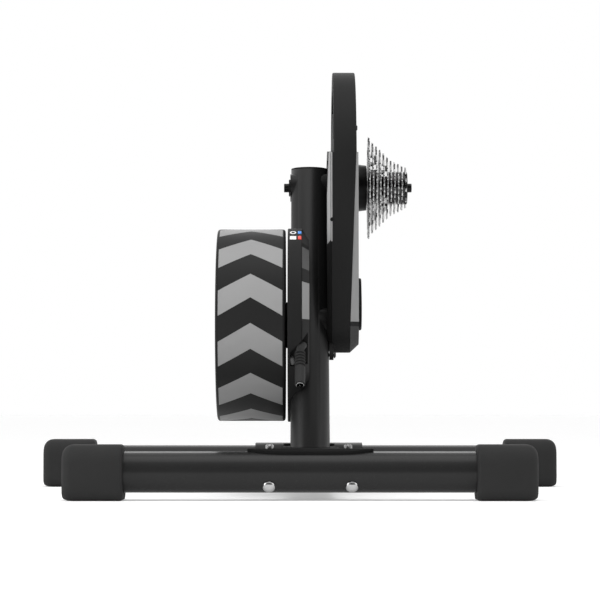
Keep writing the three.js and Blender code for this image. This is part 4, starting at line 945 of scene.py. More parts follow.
brake = {
    "radius": 105, "leftX": -13.2, "rightX": 1.7, "coverLeft": 2.0, "coverRight": 9.8, "coverRadius": 92,
    "wall": 2.8, "rimWall": 3, "edge": 1, "step": 1, "channelWall": 2.4, "tubeClear": 18.9,
    "spigotClear": 25.4, "coverEdge": 0.3, "faceEdge": 0.4, "faceRise": 0.5, "faceDrop": 0.6,
    "halfBlock": 300,
}
lightBars = {
    "width": 3.8, "length": 8.2, "depth": 2.4, "proud": 0.35, "x": -0.4, "blue": 20.7, "red": 29.2,
    "round": 0.4,
}
boardEdge = {"round": 0.15, "sharpAngle": 60}
leadPocket = {"width": 18.6, "height": 34, "depth": 13, "x": -1.2, "fromTop": 107, "cornerDrop": 18.5}


def towardsRear(bm, degrees):
    return rotatedX(rotatedX(bm, degrees), layout["lean"])


def pocketBox(extra):  # the pocket itself with 0, its walls' outside with 1
    wall = extra * brake["channelWall"]
    floorZ = brake["radius"] - leadPocket["depth"] - wall
    right = leadPocket["x"] + leadPocket["width"] / 2 + wall
    left = leadPocket["x"] - leadPocket["width"] / 2 - wall
    half = leadPocket["height"] / 2 + wall
    corners = [(left, -half), (right, -half), (right, half), (left, half - leadPocket["cornerDrop"])]
    prism = loft([[(x, up, z) for x, up in corners] for z in (floorZ, brake["radius"] + gap["over"])])
    return towardsRear(prism, leadPocket["fromTop"])


def lightBar(degrees, extra):  # the lens itself with 0, its opening with a gap
    over = gap["over"] if extra else 0
    height = lightBars["depth"] + lightBars["proud"] + extra
    size = (lightBars["width"] + 2 * extra, lightBars["length"] + 2 * extra, height + over)
    middle = brake["radius"] + lightBars["proud"] - height / 2 + over / 2
    return towardsRear(block(size, (lightBars["x"], 0, middle)), degrees)


def brakeHousingShape():
    radius, left, right, edge = brake["radius"], brake["leftX"], brake["rightX"], brake["edge"]
    clear, over = post["radius"] + gap["seat"], gap["over"]
    rounding = arc((left + edge, radius - edge), edge, 2 * quarter, quarter, 4)[1:]
    body = turned([(left, radius - edge), *rounding, (right, radius)], 160)
    inside = disc(radius - brake["rimWall"], left + brake["wall"], right + over, 160)
    chambers = cut(inside, postRod(clear + brake["channelWall"]), pocketBox(1))
    return cut(body, chambers, postRod(clear), disc(brake["spigotClear"], left - over, left + brake["wall"]),
               disc(brake["tubeClear"], left, right + over), pocketBox(0),
               lightBar(lightBars["blue"], gap["seat"]), lightBar(lightBars["red"], gap["seat"]))


def brakeCoverShape(side):
    clear, over = post["radius"] + gap["seat"], gap["over"]
    left, right = brake["coverLeft"], brake["coverRight"]
    rim, face = brake["radius"] - brake["step"], brake["coverRadius"]
    skin = turned([(left, rim - brake["coverEdge"]), (left + brake["coverEdge"], rim),
                   (right - brake["faceEdge"], face + brake["faceRise"]),
                   (right, face - brake["faceDrop"])], 160)
    size = brake["halfBlock"]
    body = common(skin, block((size, size, size), (0, side * size / 2, 0)))
    inside = turned([(left - over, rim - brake["rimWall"]), (left, rim - brake["rimWall"]),
                     (right - brake["wall"], face - brake["rimWall"])], 160)
    chambers = cut(inside, postRod(clear + brake["channelWall"]), pocketBox(1))
    return cut(body, chambers, postRod(clear), disc(brake["tubeClear"], brake["leftX"], right + over),
               pocketBox(0))


def buildBrake():
    for name, shape, finish, part in (
            ("brakeHousing", brakeHousingShape(), marked, "brake_housing"),
            ("brakeCoverRear", brakeCoverShape(-1), brakeGreys, "brake_cover_rear"),
            ("brakeCoverFront", brakeCoverShape(1), shell, "brake_cover_front")):
        finishPiece(name, shape, finish, "root", part, leaning)
    for colour, finish in (("blue", blueLens), ("red", redLens)):
        lens = soften(lightBar(lightBars[colour], 0), lightBars["round"])
        finishPiece(colour + "Light", lens, finish, "root", colour + "_light", leaning)
    board = soften(copyOf("control_board"), boardEdge["round"], 1, boardEdge["sharpAngle"])
    finishPiece("controlBoard", board, circuit, "root", "control_board")
    print("brake: housing, covers and lights made")


wheel = flywheelPaint()
ground = turnedMetal("groundSteel", 150, 0.3, leaning)
copper = turnedMetal("copper", 200, 0.34, leaning, tint=(0.9, 0.42, 0.22))
blueLens = lensPlastic("blueLens", (0.03, 0.22, 0.68), 0.3, 0.35)
redLens = lensPlastic("redLens", (0.62, 0.045, 0.03), 0.35, 0.25)
circuit = circuitBoard()
marked = markedShell()
brakeGreys = coverGreys("brakeGreys", "brake")
buildFlywheel()
buildBrake()


# Belt housing and its covers
housing = {
    "ring": 131, "ringThickness": 20, "toe": 30, "wall": 3.5, "leftX": 33.5, "ringLeftX": 36.7,
    "rightX": 61.8, "web": 2.5, "drum": 84, "drumWall": 3, "lineZ": 372, "lineY": -75, "lineSlope": 0.112,
    "lineLength": 200, "handMargin": 14, "bigSteps": 110, "smallSteps": 28, "lugRadius": 5.5, "lugReach": 11,
}
# How far each point of a rounded edge stands in from the side and from the rim
housingRounds = [(0, 1.5), (0.12, 0.93), (0.44, 0.44), (0.93, 0.12), (1.5, 0)]
joint = {"highX": 61.1, "lowX": 54.1, "lowZ": 188}  # where the housing and its right cover meet
snap = {"x": 34.7, "y": -83.1, "z": 298, "radius": 2.2, "depth": 1.6}  # a dimple on the rear face
leftCover = {"leftX": 29.5, "bevel": 4, "topX": 31.2, "slope": 0.036, "seam": 0.2, "seamDrop": (0.1, 0.3)}
rightCover = {
    "rightX": 63.6, "topBevel": 2, "toeBevel": 9, "skin": 2.6, "rim": 6, "toeRim": 12, "lid": 2.4,
    "beltRoomX": 55.85, "lap": 5,
}
accessPanel = {"thickness": 3.2, "radius": 22, "low": 20.9, "high": 37.8, "seam": 0.2}
panelRounds = [(1.4, 0), (0.93, 0.12), (0.44, 0.44), (0.12, 0.93), (0, 1.4)]
coverScrew = {
    "radius": 2.7, "recess": 3.3, "depth": 1.5, "socket": 1.3, "socketDepth": 1.0, "sunk": 0.2,
    "edgeFrom": 0.5, "edgeTo": 0.1, "edge": 0.5,
}
leftScrews = [(-78, 168), (-62, 96), (74, 96), (98, 168)]  # places on the cover, in the leaning frame
rightScrews = [(-104, 196), (-68, 96), (-17, 6), (68, 96), (104, 196)]
cutter = {"x": 360, "other": 800, "middleX": 47}  # a block that reaches past the whole housing


def teardrop(big, small):
    tilt = math.asin((big - small) / layout["shaftDistance"])
    return (arc((0, layout["shaftDistance"]), big, -tilt, math.pi + tilt, housing["bigSteps"])
            + arc((0, 0), small, math.pi + tilt, fullTurn - tilt, housing["smallSteps"]))


def housingBand(inset, left, right):
    return plate(teardrop(housing["ring"] - inset, housing["toe"] - inset), left, right)


def bevelled(stations):
    return loft([[(x, y, z) for y, z in teardrop(housing["ring"] - big, housing["toe"] - small)]
                 for x, big, small in stations])


def intoLeaning(y, z):
    point = leaning.inverted() @ Vector((0, y, z))
    return point.y, point.z


# The slanted line above which the housing is only its carrying ring
lineStart = intoLeaning(housing["lineY"], housing["lineZ"])
lineEnd = intoLeaning(housing["lineY"] + housing["lineLength"],
                      housing["lineZ"] + housing["lineLength"] * housing["lineSlope"])
lineAngle = math.degrees(math.atan2(lineEnd[1] - lineStart[1], lineEnd[0] - lineStart[0]))
jointTilt = math.atan2(joint["highX"] - joint["lowX"], housing["lineZ"] - joint["lowZ"])


def aboveCovers(margin):
    half = cutter["x"] / 2
    upper = block((cutter["x"], 2 * cutter["x"], cutter["x"]), (cutter["middleX"], 0, half + margin))
    return shifted(rotatedX(upper, lineAngle), y=lineStart[0], z=lineStart[1])


def leftOf(x):
    return block((cutter["x"], cutter["other"], cutter["other"]), (x - cutter["x"] / 2, 0, 0))


def rightOf(x):
    return block((cutter["x"], cutter["other"], cutter["other"]), (x + cutter["x"] / 2, 0, 0))


def snapDimple():
    rod = moved(disc(snap["radius"], -gap["over"], snap["depth"], 32), Matrix.Rotation(quarter, 4, "Z"))
    return moved(shifted(rod, snap["x"], snap["y"], snap["z"]), leaning.inverted())


def rightOfJoint(offset):
    side = moved(rightOf(offset), Matrix.Rotation(jointTilt, 4, "Y"))
    return moved(shifted(side, x=joint["lowX"], z=joint["lowZ"]), leaning.inverted())


def onAxle(bm):
    return shifted(bm, z=layout["shaftDistance"])


def lugOutline(radius):
    centre = -(housing["toe"] + housing["lugReach"])
    return arc((0, 0), radius, 0, math.pi, 16) + arc((0, centre), radius, math.pi, fullTurn, 16)


def beltHousingShape():
    left, right, over, seat = housing["leftX"], housing["rightX"], gap["over"], gap["seat"]
    webRight = left + housing["web"]
    rightSide = [(right - x, inset, inset) for x, inset in reversed(housingRounds)]
    full = bevelled([(left + x, inset, inset) for x, inset in housingRounds] + rightSide)
    slim = bevelled([(housing["ringLeftX"] + x, inset, inset) for x, inset in housingRounds] + rightSide)
    body = join(cut(full, aboveCovers(0)), common(slim, aboveCovers(-1)))
    low = cut(housingBand(housing["wall"], webRight, right + over), aboveCovers(0))
    drum = onAxle(disc(housing["drum"] - housing["drumWall"], webRight, right + over, 128))
    slimWeb = common(leftOf(housing["ringLeftX"] + housing["web"]), aboveCovers(-housing["web"]))
    ringInner = housing["ring"] - housing["ringThickness"]
    hand = common(onAxle(tube(ringInner, housing["drum"], left - over, right + over, 160)),
                  aboveCovers(housing["handMargin"]))
    lug = plate(lugOutline(housing["lugRadius"]), post["radius"] + layout["postX"] + seat, webRight)
    lowSide = cut(rightOfJoint(0), aboveCovers(0))
    hubHole = onAxle(disc(post["hubTube"] + seat, left - over, webRight + over))
    tubeHole = disc(post["shaftTube"] + seat, 0, webRight + over)
    screwHole = disc(lowerScrew["bore"], 0, webRight + over, 24)
    shape = join(cut(body, cut(join(low, drum), slimWeb)), lug)
    return cut(shape, hand, lowSide, hubHole, tubeHole, shifted(screwHole, z=lowerScrew["z"]), snapDimple())


def leftCoverShape():
    right, clear, over = housing["leftX"] - gap["seat"], post["radius"] + gap["seat"], gap["over"]
    near, far = leftCover["seamDrop"]
    body = bevelled([(leftCover["leftX"], leftCover["bevel"], leftCover["bevel"]),
                     (right - leftCover["seam"], near, near), (right, far, far)])
    lug = plate(lugOutline(housing["lugRadius"] + gap["seat"]), leftCover["leftX"] - over, right + over)
    sloped = shifted(moved(leftOf(0), Matrix.Rotation(math.atan(leftCover["slope"]), 4, "Y")),
                     x=leftCover["topX"], z=housing["lineZ"])
    return cut(body, moved(sloped, leaning.inverted()), aboveCovers(0), postRod(clear), lug, snapDimple(),
               *screwRecesses(leftScrews, leftCover["leftX"], -1),
               onAxle(disc(post["hubTube"] + gap["seat"], layout["postX"], right + over)),
               disc(post["shaftTube"] + gap["seat"], layout["postX"], right + over))


def rightCoverShape():
    outer = bevelled([(joint["lowX"] - rightCover["lap"], 0, 0), (joint["lowX"], 0, 0),
                      (rightCover["rightX"], rightCover["topBevel"], rightCover["toeBevel"])])
    beyond = join(rightOfJoint(gap["seat"]), rightOf(housing["rightX"] + gap["seat"]))
    low = cut(common(outer, beyond), aboveCovers(0))
    lidLeft = housing["rightX"] - rightCover["lid"]
    inner = housing["drum"] - housing["drumWall"]
    lid = onAxle(disc(inner - gap["seat"], lidLeft, housing["rightX"], 128))
    pocket = plate(teardrop(housing["ring"] - rightCover["rim"], housing["toe"] - rightCover["toeRim"]),
                   housing["leftX"], rightCover["rightX"] - rightCover["skin"])
    beltRoom = housingBand(housing["wall"], housing["leftX"], rightCover["beltRoomX"])
    lowPocket = cut(join(pocket, beltRoom), aboveCovers(-rightCover["skin"]))
    drumPocket = onAxle(disc(inner - rightCover["skin"], housing["leftX"], lidLeft, 128))
    neck = onAxle(disc(hub["neck"] + hub["coverGap"], housing["leftX"], hub["flangeRight"]))
    recesses = screwRecesses(rightScrews, rightCover["rightX"], 1)
    return cut(join(cut(low, lowPocket), lid), drumPocket, neck, *recesses)


def screwRecesses(places, faceX, side):  # side is -1 on a left face and 1 on a right one
    ends = sorted((faceX - side * coverScrew["depth"], faceX + side * gap["over"]))
    return [shifted(disc(coverScrew["recess"], *ends, 32), y=y, z=z) for y, z in places]


def coverScrews(places, faceX, side):
    radius, seat = coverScrew["radius"], faceX - side * coverScrew["depth"]
    ends = sorted((faceX - side * coverScrew["socketDepth"], faceX + side))
    screws = []
    for y, z in places:
        head = turned([(seat - side * coverScrew["sunk"], radius),
                       (faceX - side * coverScrew["edgeFrom"], radius),
                       (faceX - side * coverScrew["edgeTo"], radius - coverScrew["edge"])], 32)
        screws.append(shifted(cut(head, disc(coverScrew["socket"], *ends, 6)), y=y, z=z))
    return join(*screws)


def stadium(start, end, radius, steps=20):
    angle = math.atan2(end[1] - start[1], end[0] - start[0])
    return (arc(end, radius, angle - quarter, angle + quarter, steps)
            + arc(start, radius, angle + quarter, angle + 3 * quarter, steps))


def accessPanelShape():
    left, radius, seam = rightCover["rightX"] + gap["seat"], accessPanel["radius"], accessPanel["seam"]
    right = left + accessPanel["thickness"]
    stations = [(left, radius - seam), (left + seam, radius),
                *[(right - x, radius - inset) for x, inset in panelRounds]]
    return loft([[(x, y, z) for y, z in stadium((0, accessPanel["low"]), (0, accessPanel["high"]), size)]
                 for x, size in stations])


def buildHousing():
    for name, shape, finish, part in (
            ("beltHousing", beltHousingShape(), housingGreys, "belt_housing"),
            ("leftBeltCover", leftCoverShape(), leftGreys, "left_belt_cover"),
            ("rightBeltCover", rightCoverShape(), rightGreys, "right_belt_cover")):
        finishPiece(name, shape, finish, "root", part, leaning, angle=25)
    finishPiece("accessPanel", accessPanelShape(), panelBlack, "root", "access_panel",
                leaning)
    for name, places, faceX, side in (("leftCoverScrews", leftScrews, leftCover["leftX"], -1),
                                      ("rightCoverScrews", rightScrews, rightCover["rightX"], 1)):
        finishPiece(name, coverScrews(places, faceX, side), darkFastener, "root",
                    matrix=leaning)
    finishPiece("housingScrew", copyOf("housing_screw"), darkFastener, "root",
                "housing_screw")
    print("housing: ring, covers and access panel made")


# Drive: pulleys, belt, hub and axle
largePulley = {
    "radius": 77, "width": 15, "leftX": 40, "rim": 6, "web": 4, "boss": 5, "holes": 6, "holeRadius": 15,
    "holeCircle": 48, "edge": 0.6, "fillet": 3,
}
smallPulley = {"radius": 11, "flange": 1.5, "lip": 1, "bore": 7.8, "edge": 0.4}
belt = {"thickness": 2.4, "width": 12.5, "ribs": 8, "ribDepth": 1.0}
ribShares = [(0.1, 1), (0.35, 0), (0.65, 0), (0.9, 1)]  # place over one rib and depth of the groove there
idler = {
    "radius": 12, "along": 62, "arm": 3, "bore": 4.3, "edge": 0.4, "faceOuter": 10, "recessOuter": 9.6,
    "recessInner": 6.4, "faceInner": 6, "recess": 0.8,
}
hub = {
    "leftX": 37, "neck": 20, "neckRight": 64, "flangeLeft": 64.5, "flangeRight": 75.5,
    "flangeLeftRadius": 26.9, "flangeRightRadius": 25.65, "bore": 12, "seat": 16.3, "seatDepth": 9.6,
    "coverGap": 1.5, "edge": 0.5, "flangeEdge": 0.6, "faceEdge": 0.7,
}
axle = {"radius": 7.5, "bore": 5.3, "edge": 0.4}
endCap = {
    "flange": 9.65, "stub": 5, "spigot": 5, "leftStub": 5.5, "rightStub": 4.9, "thickness": 1.6, "hole": 2.75,
    "depth": 12, "edge": 0.3, "stubEdge": 0.5,
}
seats = {"left": -12.7, "right": 122.3}  # the faces that take the bike's dropouts
beltMiddle = largePulley["leftX"] + largePulley["width"] / 2


def beltShape():
    offset = gap["run"]
    back = offset + belt["thickness"]
    outer = teardrop(largePulley["radius"] + back, smallPulley["radius"] + back)
    pitch = belt["width"] / belt["ribs"]
    left = beltMiddle - belt["width"] / 2
    rings = [[(left, y, z) for y, z in outer]]
    for i in range(belt["ribs"]):
        for place, depth in ribShares:
            inset = offset + belt["ribDepth"] * depth
            rings.append([(left + (i + place) * pitch, y, z) for y, z in
                          teardrop(largePulley["radius"] + inset, smallPulley["radius"] + inset)])
    rings.append([(left + belt["width"], y, z) for y, z in outer])
    bm = bmesh.new()
    loops = [addLoop(bm, ring)[1] for ring in rings]
    for first, second in zip(loops, loops[1:] + loops[:1]):
        bmesh.ops.bridge_loops(bm, edges=first + second)
    bmesh.ops.recalc_face_normals(bm, faces=bm.faces)
    return bm


def largePulleyShape():
    left, right = largePulley["leftX"], largePulley["leftX"] + largePulley["width"]
    radius, edge, fillet = largePulley["radius"], largePulley["edge"], largePulley["fillet"]
    rimRadius, bossRadius = radius - largePulley["rim"], hub["neck"] + largePulley["boss"]
    bore = hub["neck"] + gap["seat"]
    webLeft, webRight = beltMiddle - largePulley["web"] / 2, beltMiddle + largePulley["web"] / 2
    profile = [
        (left, radius - edge), (left + edge, radius), (right - edge, radius), (right, radius - edge),
        (right, rimRadius), *arc((webRight + fillet, rimRadius - fillet), fillet, quarter, 2 * quarter, 4),
        *arc((webRight + fillet, bossRadius + fillet), fillet, 2 * quarter, 3 * quarter, 4),
        (right, bossRadius), (right, bore), (left, bore), (left, bossRadius),
        *arc((webLeft - fillet, bossRadius + fillet), fillet, -quarter, 0, 4),
        *arc((webLeft - fillet, rimRadius - fillet), fillet, 0, quarter, 4), (left, rimRadius)]
    holes = []
    for i in range(largePulley["holes"]):
        hole = disc(largePulley["holeRadius"], left - gap["over"], right + gap["over"], 48)
        holes.append(rotatedX(shifted(hole, z=largePulley["holeCircle"]), 360 * i / largePulley["holes"]))
    return cut(turned(profile, 128, ring=True), *holes)


def smallPulleyShape():
    half, edge = belt["width"] / 2 + gap["run"], smallPulley["edge"]
    rim = smallPulley["radius"] + belt["thickness"] + smallPulley["lip"]
    side = half + smallPulley["flange"]
    profile = [(-side, smallPulley["bore"]), (-side, rim - edge), (-side + edge, rim), (-half, rim),
               (-half, smallPulley["radius"]), (half, smallPulley["radius"]), (half, rim), (side - edge, rim),
               (side, rim - edge), (side, smallPulley["bore"])]
    return shifted(turned(profile, 72, ring=True), x=beltMiddle)


def idlerShape():
    left = housing["leftX"] + housing["web"] + gap["seat"] + idler["arm"] + gap["run"]
    right = beltMiddle + belt["width"] / 2
    radius, edge, floor = idler["radius"], idler["edge"], right - idler["recess"]
    wheelShape = turned([
        (left, idler["bore"]), (left, radius - edge), (left + edge, radius), (right - edge, radius),
        (right, radius - edge), (right, idler["faceOuter"]), (floor, idler["recessOuter"]),
        (floor, idler["recessInner"]), (right, idler["faceInner"]), (right, idler["bore"])], 72, ring=True)
    tilt = math.asin((largePulley["radius"] - smallPulley["radius"]) / layout["shaftDistance"])
    out = smallPulley["radius"] + belt["thickness"] + 2 * gap["run"] + radius
    along = idler["along"]
    return shifted(wheelShape, y=out * math.cos(tilt) + along * math.sin(tilt),
                   z=along * math.cos(tilt) - out * math.sin(tilt))


def hubShape():
    left, right, seat, edge = hub["leftX"], hub["flangeRight"], hub["seat"], hub["flangeEdge"]
    seatLeft, seatRight = left + hub["seatDepth"], right - hub["seatDepth"]
    return turned([
        (left, seat), (left, hub["neck"] - hub["edge"]), (left + hub["edge"], hub["neck"]),
        (hub["neckRight"], hub["neck"]), (hub["flangeLeft"], hub["flangeLeftRadius"] - edge),
        (hub["flangeLeft"] + hub["edge"], hub["flangeLeftRadius"]), (right - edge, hub["flangeRightRadius"]),
        (right, hub["flangeRightRadius"] - hub["faceEdge"]), (right, seat), (seatRight, seat),
        (seatRight, hub["bore"]), (seatLeft, hub["bore"]), (seatLeft, seat)], 96, ring=True)


def endCapShape(side, seat, stub):
    flange, end, edge = seat - side * endCap["thickness"], seat + side * stub, endCap["edge"]
    inside = flange - side * endCap["depth"]
    return turned([
        (inside, endCap["hole"]), (inside, endCap["spigot"]), (flange, endCap["spigot"]),
        (flange, endCap["flange"] - edge), (flange + side * edge, endCap["flange"]),
        (seat - side * edge, endCap["flange"]), (seat, endCap["flange"] - edge), (seat, endCap["stub"]),
        (seat + side * (stub - endCap["stubEdge"]), endCap["stub"]),
        (end, endCap["stub"] - endCap["stubEdge"]), (end, endCap["hole"])], 64, ring=True)


def buildDrive():
    finishPiece("driveBelt", beltShape(), beltBlack, "root", "drive_belt", leaning, angle=25)
    finishPiece("largePulley", largePulleyShape(), castAluminium, "pulley", "large_pulley",
                axleLine)
    finishPiece("smallPulley", smallPulleyShape(), ground, "flywheel", "small_pulley",
                leaning)
    bracket = soften(copyOf("idler_bracket"), bentPlate["round"], angle=bentPlate["sharpAngle"])
    finishPiece("idlerBracket", bracket, ground, "root", "idler_bracket")
    finishPiece("idlerPulley", idlerShape(), castAluminium, "idler", "idler_pulley", leaning)
    finishPiece("hubShell", hubShape(), anodised, "pulley", "hub_shell", axleLine)
    axleRight = seats["right"] - endCap["thickness"] - gap["seat"]
    bar = soften(tube(axle["radius"], axle["bore"], post["hubLeft"], axleRight, 64), axle["edge"])
    finishPiece("axle", bar, ground, "root", "axle", axleLine)
    for name, side in (("left", -1), ("right", 1)):
        finishPiece(name + "EndCap", endCapShape(side, seats[name], endCap[name + "Stub"]), anodised, "root",
                    name + "_end_cap", axleLine)
    print("drive: belt, pulleys, hub and axle made")


darkFastener = turnedMetal("darkFastener", 70, 0.3, leaning)
housingGreys = coverGreys("housingGreys", "housing")
leftGreys = coverGreys("leftCoverGreys", "left")
rightGreys = coverGreys("rightCoverGreys", "right")
panelBlack = plainCovering("panelBlack")
beltBlack = beltRubber()
castAluminium = turnedMetal("castAluminium", 175, 0.36, axleLine)
anodised = turnedMetal("anodisedBlack", 46, 0.34, axleLine)
buildHousing()
buildDrive()


# Cassette and freehub
cassette = {
    "teeth": [28, 25, 23, 21, 19, 17, 15, 14, 13, 12, 11], "clusters": [(0, 2), (3, 5)], "firstX": 78.2,
    "step": 4.17, "width": 1.7, "pitch": 12.7, "tip": 1.3, "valley": 3.9, "ringDepth": 6, "arms": 5,
    "armWidth": 7, "armLap": 1.2, "armTwist": 0.15, "spacerWall": 1.3, "toothBevel": 0.35, "sharp": 1.2,
    "level": 0.01,
}
spline = {"root": 15.9, "tip": 17.1, "count": 9, "gap": 0.3, "share": 0.45, "flange": 1.2, "round": 0.2}
lockring = {
    "radius": 18.4, "flange": 0.9, "edge": 0.5, "edgeFrom": 0.5, "barrel": 6, "barrelRadius": 13.4,
    "bore": 10.6, "notches": 12, "depth": 1.2, "round": 0.12,
}
turnedSharp = 50  # past this angle the freehub and the lockring get a small bevel
# The outline of one tooth: angle as a share of the pitch, height as a share of its depth
toothShares = [(-0.5, 0), (-0.4, 0.02), (-0.3, 0.13), (-0.21, 0.42), (-0.13, 0.8), (-0.07, 1),
               (0.07, 1), (0.13, 0.8), (0.21, 0.42), (0.3, 0.13), (0.4, 0.02)]


def pitchRadius(teeth):
    return cassette["pitch"] / (2 * math.sin(math.pi / teeth))


def cogOutline(teeth):
    root, tip = pitchRadius(teeth) - cassette["valley"], pitchRadius(teeth) + cassette["tip"]
    return [polar(root + (tip - root) * high, (i + along) * fullTurn / teeth)
            for i in range(teeth) for along, high in toothShares]


def cogPlate(teeth, middle):
    half = cassette["width"] / 2
    bm = plate(cogOutline(teeth), middle - half, middle + half)
    rim = []
    for edge in bm.edges:
        start, end = (vert.co.x for vert in edge.verts)
        if edge.calc_face_angle(0) > cassette["sharp"] and abs(start - end) < cassette["level"]:
            rim.append(edge)
    return bevelEdges(bm, rim, cassette["toothBevel"])


def splineOutline(offset):
    step = fullTurn / spline["count"]
    half = spline["share"] * step / 2
    root, tip = spline["root"] + offset, spline["tip"] + offset
    points = []
    for i in range(spline["count"]):
        points += [polar(root, i * step - half), polar(tip, i * step - half), polar(tip, i * step),
                   polar(tip, i * step + half), polar(root, i * step + half), polar(root, (i + 0.5) * step)]
    return points


def cogX(index):
    return cassette["firstX"] + index * cassette["step"]


def splineBore():
    return plate(splineOutline(spline["gap"]), hub["leftX"], seats["right"])


def spacerDisc(left, right):
    return disc(spline["tip"] + spline["gap"] + cassette["spacerWall"], left, right, 72)


def clusterShape(first, last):  # a few large cogs on one carrier with twisted arms
    half = cassette["width"] / 2
    left = cogX(first) - half
    pieces = []
    for index in range(first, last + 1):
        teeth = cassette["teeth"][index]
        inside = pitchRadius(teeth) - cassette["valley"] - cassette["ringDepth"]
        pieces.append(cut(cogPlate(teeth, cogX(index)), disc(inside, left - gap["over"], seats["right"], 72)))
        width, reach = cogX(index) + half - left, inside + cassette["armLap"]
        for i in range(cassette["arms"]):
            arm = block((width, cassette["armWidth"], reach), (left + width / 2, 0, reach / 2))
            turn = i + cassette["armTwist"] * (index - first)
            pieces.append(rotatedX(arm, 360 * turn / cassette["arms"]))
    return cut(join(spacerDisc(left, cogX(last) + half), *pieces), splineBore())


def singleCogShape(index):
    spacerLeft = cogX(index - 1) + cassette["width"] / 2 + gap["seat"]
    return cut(join(cogPlate(cassette["teeth"][index], cogX(index)), spacerDisc(spacerLeft, cogX(index))),
               splineBore())


def freehubShape(lastRight):
    left, right = hub["flangeRight"] + gap["seat"], lastRight - gap["seat"]
    flangeRight = cassette["firstX"] - cassette["width"] / 2 - gap["seat"]
    flange = disc(spline["tip"] + spline["flange"], left, flangeRight)
    barrel = plate(splineOutline(0), left, right)
    bore = disc(bearing["bore"], hub["leftX"], seats["right"])
    mouth = disc(lockring["barrelRadius"] + gap["seat"], right - lockring["barrel"] - gap["seat"],
                 lastRight + gap["over"])
    return soften(cut(join(flange, barrel), bore, mouth), spline["round"], 1, turnedSharp)


def lockringShape(lastRight):
    flangeLeft = lastRight + gap["seat"]
    body = turned([(lastRight - lockring["barrel"], lockring["barrelRadius"]),
                   (flangeLeft, lockring["barrelRadius"]), (flangeLeft, lockring["radius"]),
                   (flangeLeft + lockring["edgeFrom"], lockring["radius"]),
                   (flangeLeft + lockring["flange"], lockring["radius"] - lockring["edge"])])
    points = 4 * lockring["notches"]
    notches = []
    for i in range(points):
        depth = lockring["depth"] if i % 4 >= 2 else 0
        notches.append(polar(lockring["bore"] + depth, (i + 0.5) * fullTurn / points))
    return soften(cut(body, plate(notches, hub["leftX"], seats["right"])), lockring["round"], 1,
                  turnedSharp)


def buildCassette():
    lastRight = cogX(len(cassette["teeth"]) - 1) + cassette["width"] / 2
    finishPiece("freehubBody", freehubShape(lastRight), castAluminium, "cassette",
                "freehub_body", axleLine)
    for first, last in cassette["clusters"]:
        counts = [str(teeth) for teeth in cassette["teeth"][first:last + 1]]
        finishPiece("cogs" + "x".join(counts), clusterShape(first, last), cogSteel, "cassette",
                    "cogs_" + "_".join(counts), axleLine)
    for index in range(cassette["clusters"][-1][1] + 1, len(cassette["teeth"])):
        teeth = cassette["teeth"][index]
        finishPiece(f"cog{teeth}", singleCogShape(index), cogSteel, "cassette", f"cog_{teeth}",
                    axleLine)
    finishPiece("lockring", lockringShape(lastRight), cogSteel, "cassette", "lockring", axleLine)
    print("cassette: cogs, freehub and lockring made")


# Power lead
lead = {
    "x": 0, "rootX": 2.8, "back": 98, "down": -26, "tilt": 50, "collar": 4.4, "collarShare": 0.9,
    "collarEdge": 0.3, "neck": 3.3, "rib": 5.6, "ribs": 5, "ribPitch": 4, "ribWidth": 2.6, "body": 5.4,
    "bodyLength": 24, "bodyEdge": 0.7, "bodyEnds": (0.6, 0.8), "elbow": 8.5, "elbowEnd": 2.6,
    "elbowSteps": 4, "beforeRib": 0.5, "steps": 40,
}
# The place over one rib of the lead and the height there
leadRibShares = [(0, 0), (0.12, 0.7), (0.3, 1), (0.7, 1), (0.88, 0.7), (1, 0)]
leadSocket = {
    "radius": 4.1, "wall": 1.1, "length": 12, "proud": 0.8, "edge": 0.3, "pin": 1.1, "pinLength": 9,
    "pinEdge": 0.5,
}
pocketPlug = {"size": (4.0, 7.6, 12), "centre": (-8.3, -12, 98), "turn": 15, "round": 1.8}
leadRoot = math.radians(leadPocket["fromTop"] - 90)
leadFall = math.radians(lead["tilt"])
leadStart = (layout["flywheelY"] - lead["back"], layout["flywheelZ"] + lead["down"])
leadEnd = lead["elbow"] + lead["ribs"] * lead["ribPitch"] + lead["bodyLength"]


def leadRing(distance, angle, radius, x=lead["x"]):
    y = leadStart[0] - distance * math.cos(angle)
    z = leadStart[1] - distance * math.sin(angle)
    ring = []
    for i in range(lead["steps"]):
        across, up = polar(radius, i * fullTurn / lead["steps"])
        ring.append((x + across, y - up * math.sin(angle), z + up * math.cos(angle)))
    return ring


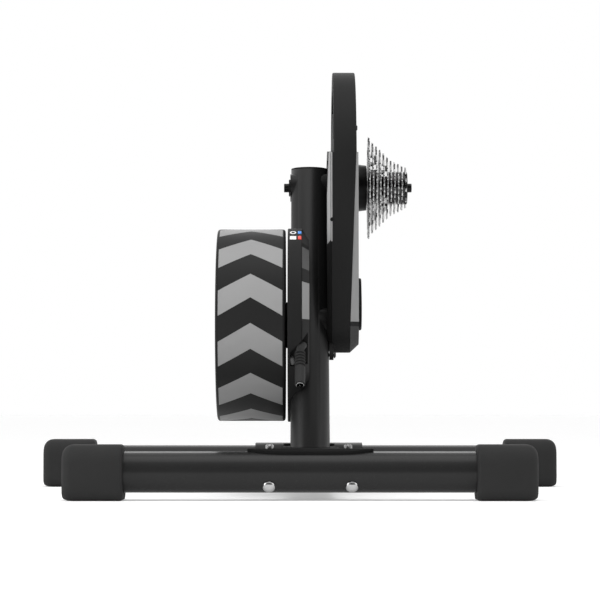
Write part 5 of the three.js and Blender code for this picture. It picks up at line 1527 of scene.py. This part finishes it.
def leadShape():
    floor = (lead["back"] * math.cos(leadRoot) - lead["down"] * math.sin(leadRoot)
             - (brake["radius"] - leadPocket["depth"]) - gap["seat"])
    collar, neck, side = lead["collar"], lead["neck"], lead["rootX"]
    rings = [leadRing(-floor, leadRoot, neck, side), leadRing(-collar, leadRoot, neck, side),
             leadRing(-collar * lead["collarShare"], leadRoot, collar - lead["collarEdge"], side)]
    for i in range(lead["elbowSteps"] + 1):  # the elbow, as a round bend
        share = i / lead["elbowSteps"]
        reach = collar * (share ** 2 - (1 - share) ** 2)
        angle = leadRoot + (leadFall - leadRoot) * share
        rings.append(leadRing(reach, angle, collar, side + (lead["x"] - side) * share))
    rings.append(leadRing(lead["elbow"] - lead["elbowEnd"], leadFall, collar))
    for i in range(lead["ribs"]):
        start = lead["elbow"] + i * lead["ribPitch"]
        rings.append(leadRing(start - lead["beforeRib"], leadFall, neck))
        for share, height in leadRibShares:
            radius = neck + (lead["rib"] - neck) * height
            rings.append(leadRing(start + share * lead["ribWidth"], leadFall, radius))
    startGap, endGap = lead["bodyEnds"]
    rings += [leadRing(leadEnd - lead["bodyLength"] + startGap, leadFall, lead["body"]),
              leadRing(leadEnd - endGap, leadFall, lead["body"]),
              leadRing(leadEnd, leadFall, lead["body"] - lead["bodyEdge"])]
    return loft(rings)


def alongLead(bm):
    turn = moved(bm, Matrix.Rotation(-quarter, 4, "Z"))
    return shifted(rotatedX(turn, lead["tilt"]), lead["x"], *leadStart)


def buildLead():
    radius, edge = leadSocket["radius"], leadSocket["edge"]
    back, end = leadEnd - leadSocket["length"], leadEnd + leadSocket["proud"]
    bore = disc(radius + gap["seat"], back - gap["seat"], leadEnd + gap["over"], 48)
    boot = cut(leadShape(), alongLead(bore))
    finishPiece("powerLead", boot, leadBlack, "root", "power_lead")
    inner, floor = radius - leadSocket["wall"], back + leadSocket["wall"]
    pinEnd = back + leadSocket["pinLength"]
    profile = [(back, radius), (end - edge, radius), (end, radius - edge), (end, inner), (floor, inner),
               (floor, leadSocket["pin"]), (pinEnd - leadSocket["pinEdge"], leadSocket["pin"]),
               (pinEnd, leadSocket["pin"] - leadSocket["pinEdge"])]
    finishPiece("powerSocket", alongLead(turned(profile, 48)), fastener, "root", "power_socket")
    insert = soften(block(pocketPlug["size"]), pocketPlug["round"], 4)
    insert = moved(insert, Matrix.Rotation(math.radians(pocketPlug["turn"]), 4, "Z"))
    insert = towardsRear(shifted(insert, *pocketPlug["centre"]), leadPocket["fromTop"])
    finishPiece("pocketPlug", insert, plugGrey, "root", matrix=leaning)
    print("lead: boot, socket and plug made")


cogSteel = turnedMetal("cogSteel", 190, 0.12, axleLine, pitch=0.9, darkCore=20.5)
leadBlack = plainCovering("leadBlack")
plugGrey = plainCovering("plugGrey")
buildCassette()
buildLead()
print("trainer: all pieces made")
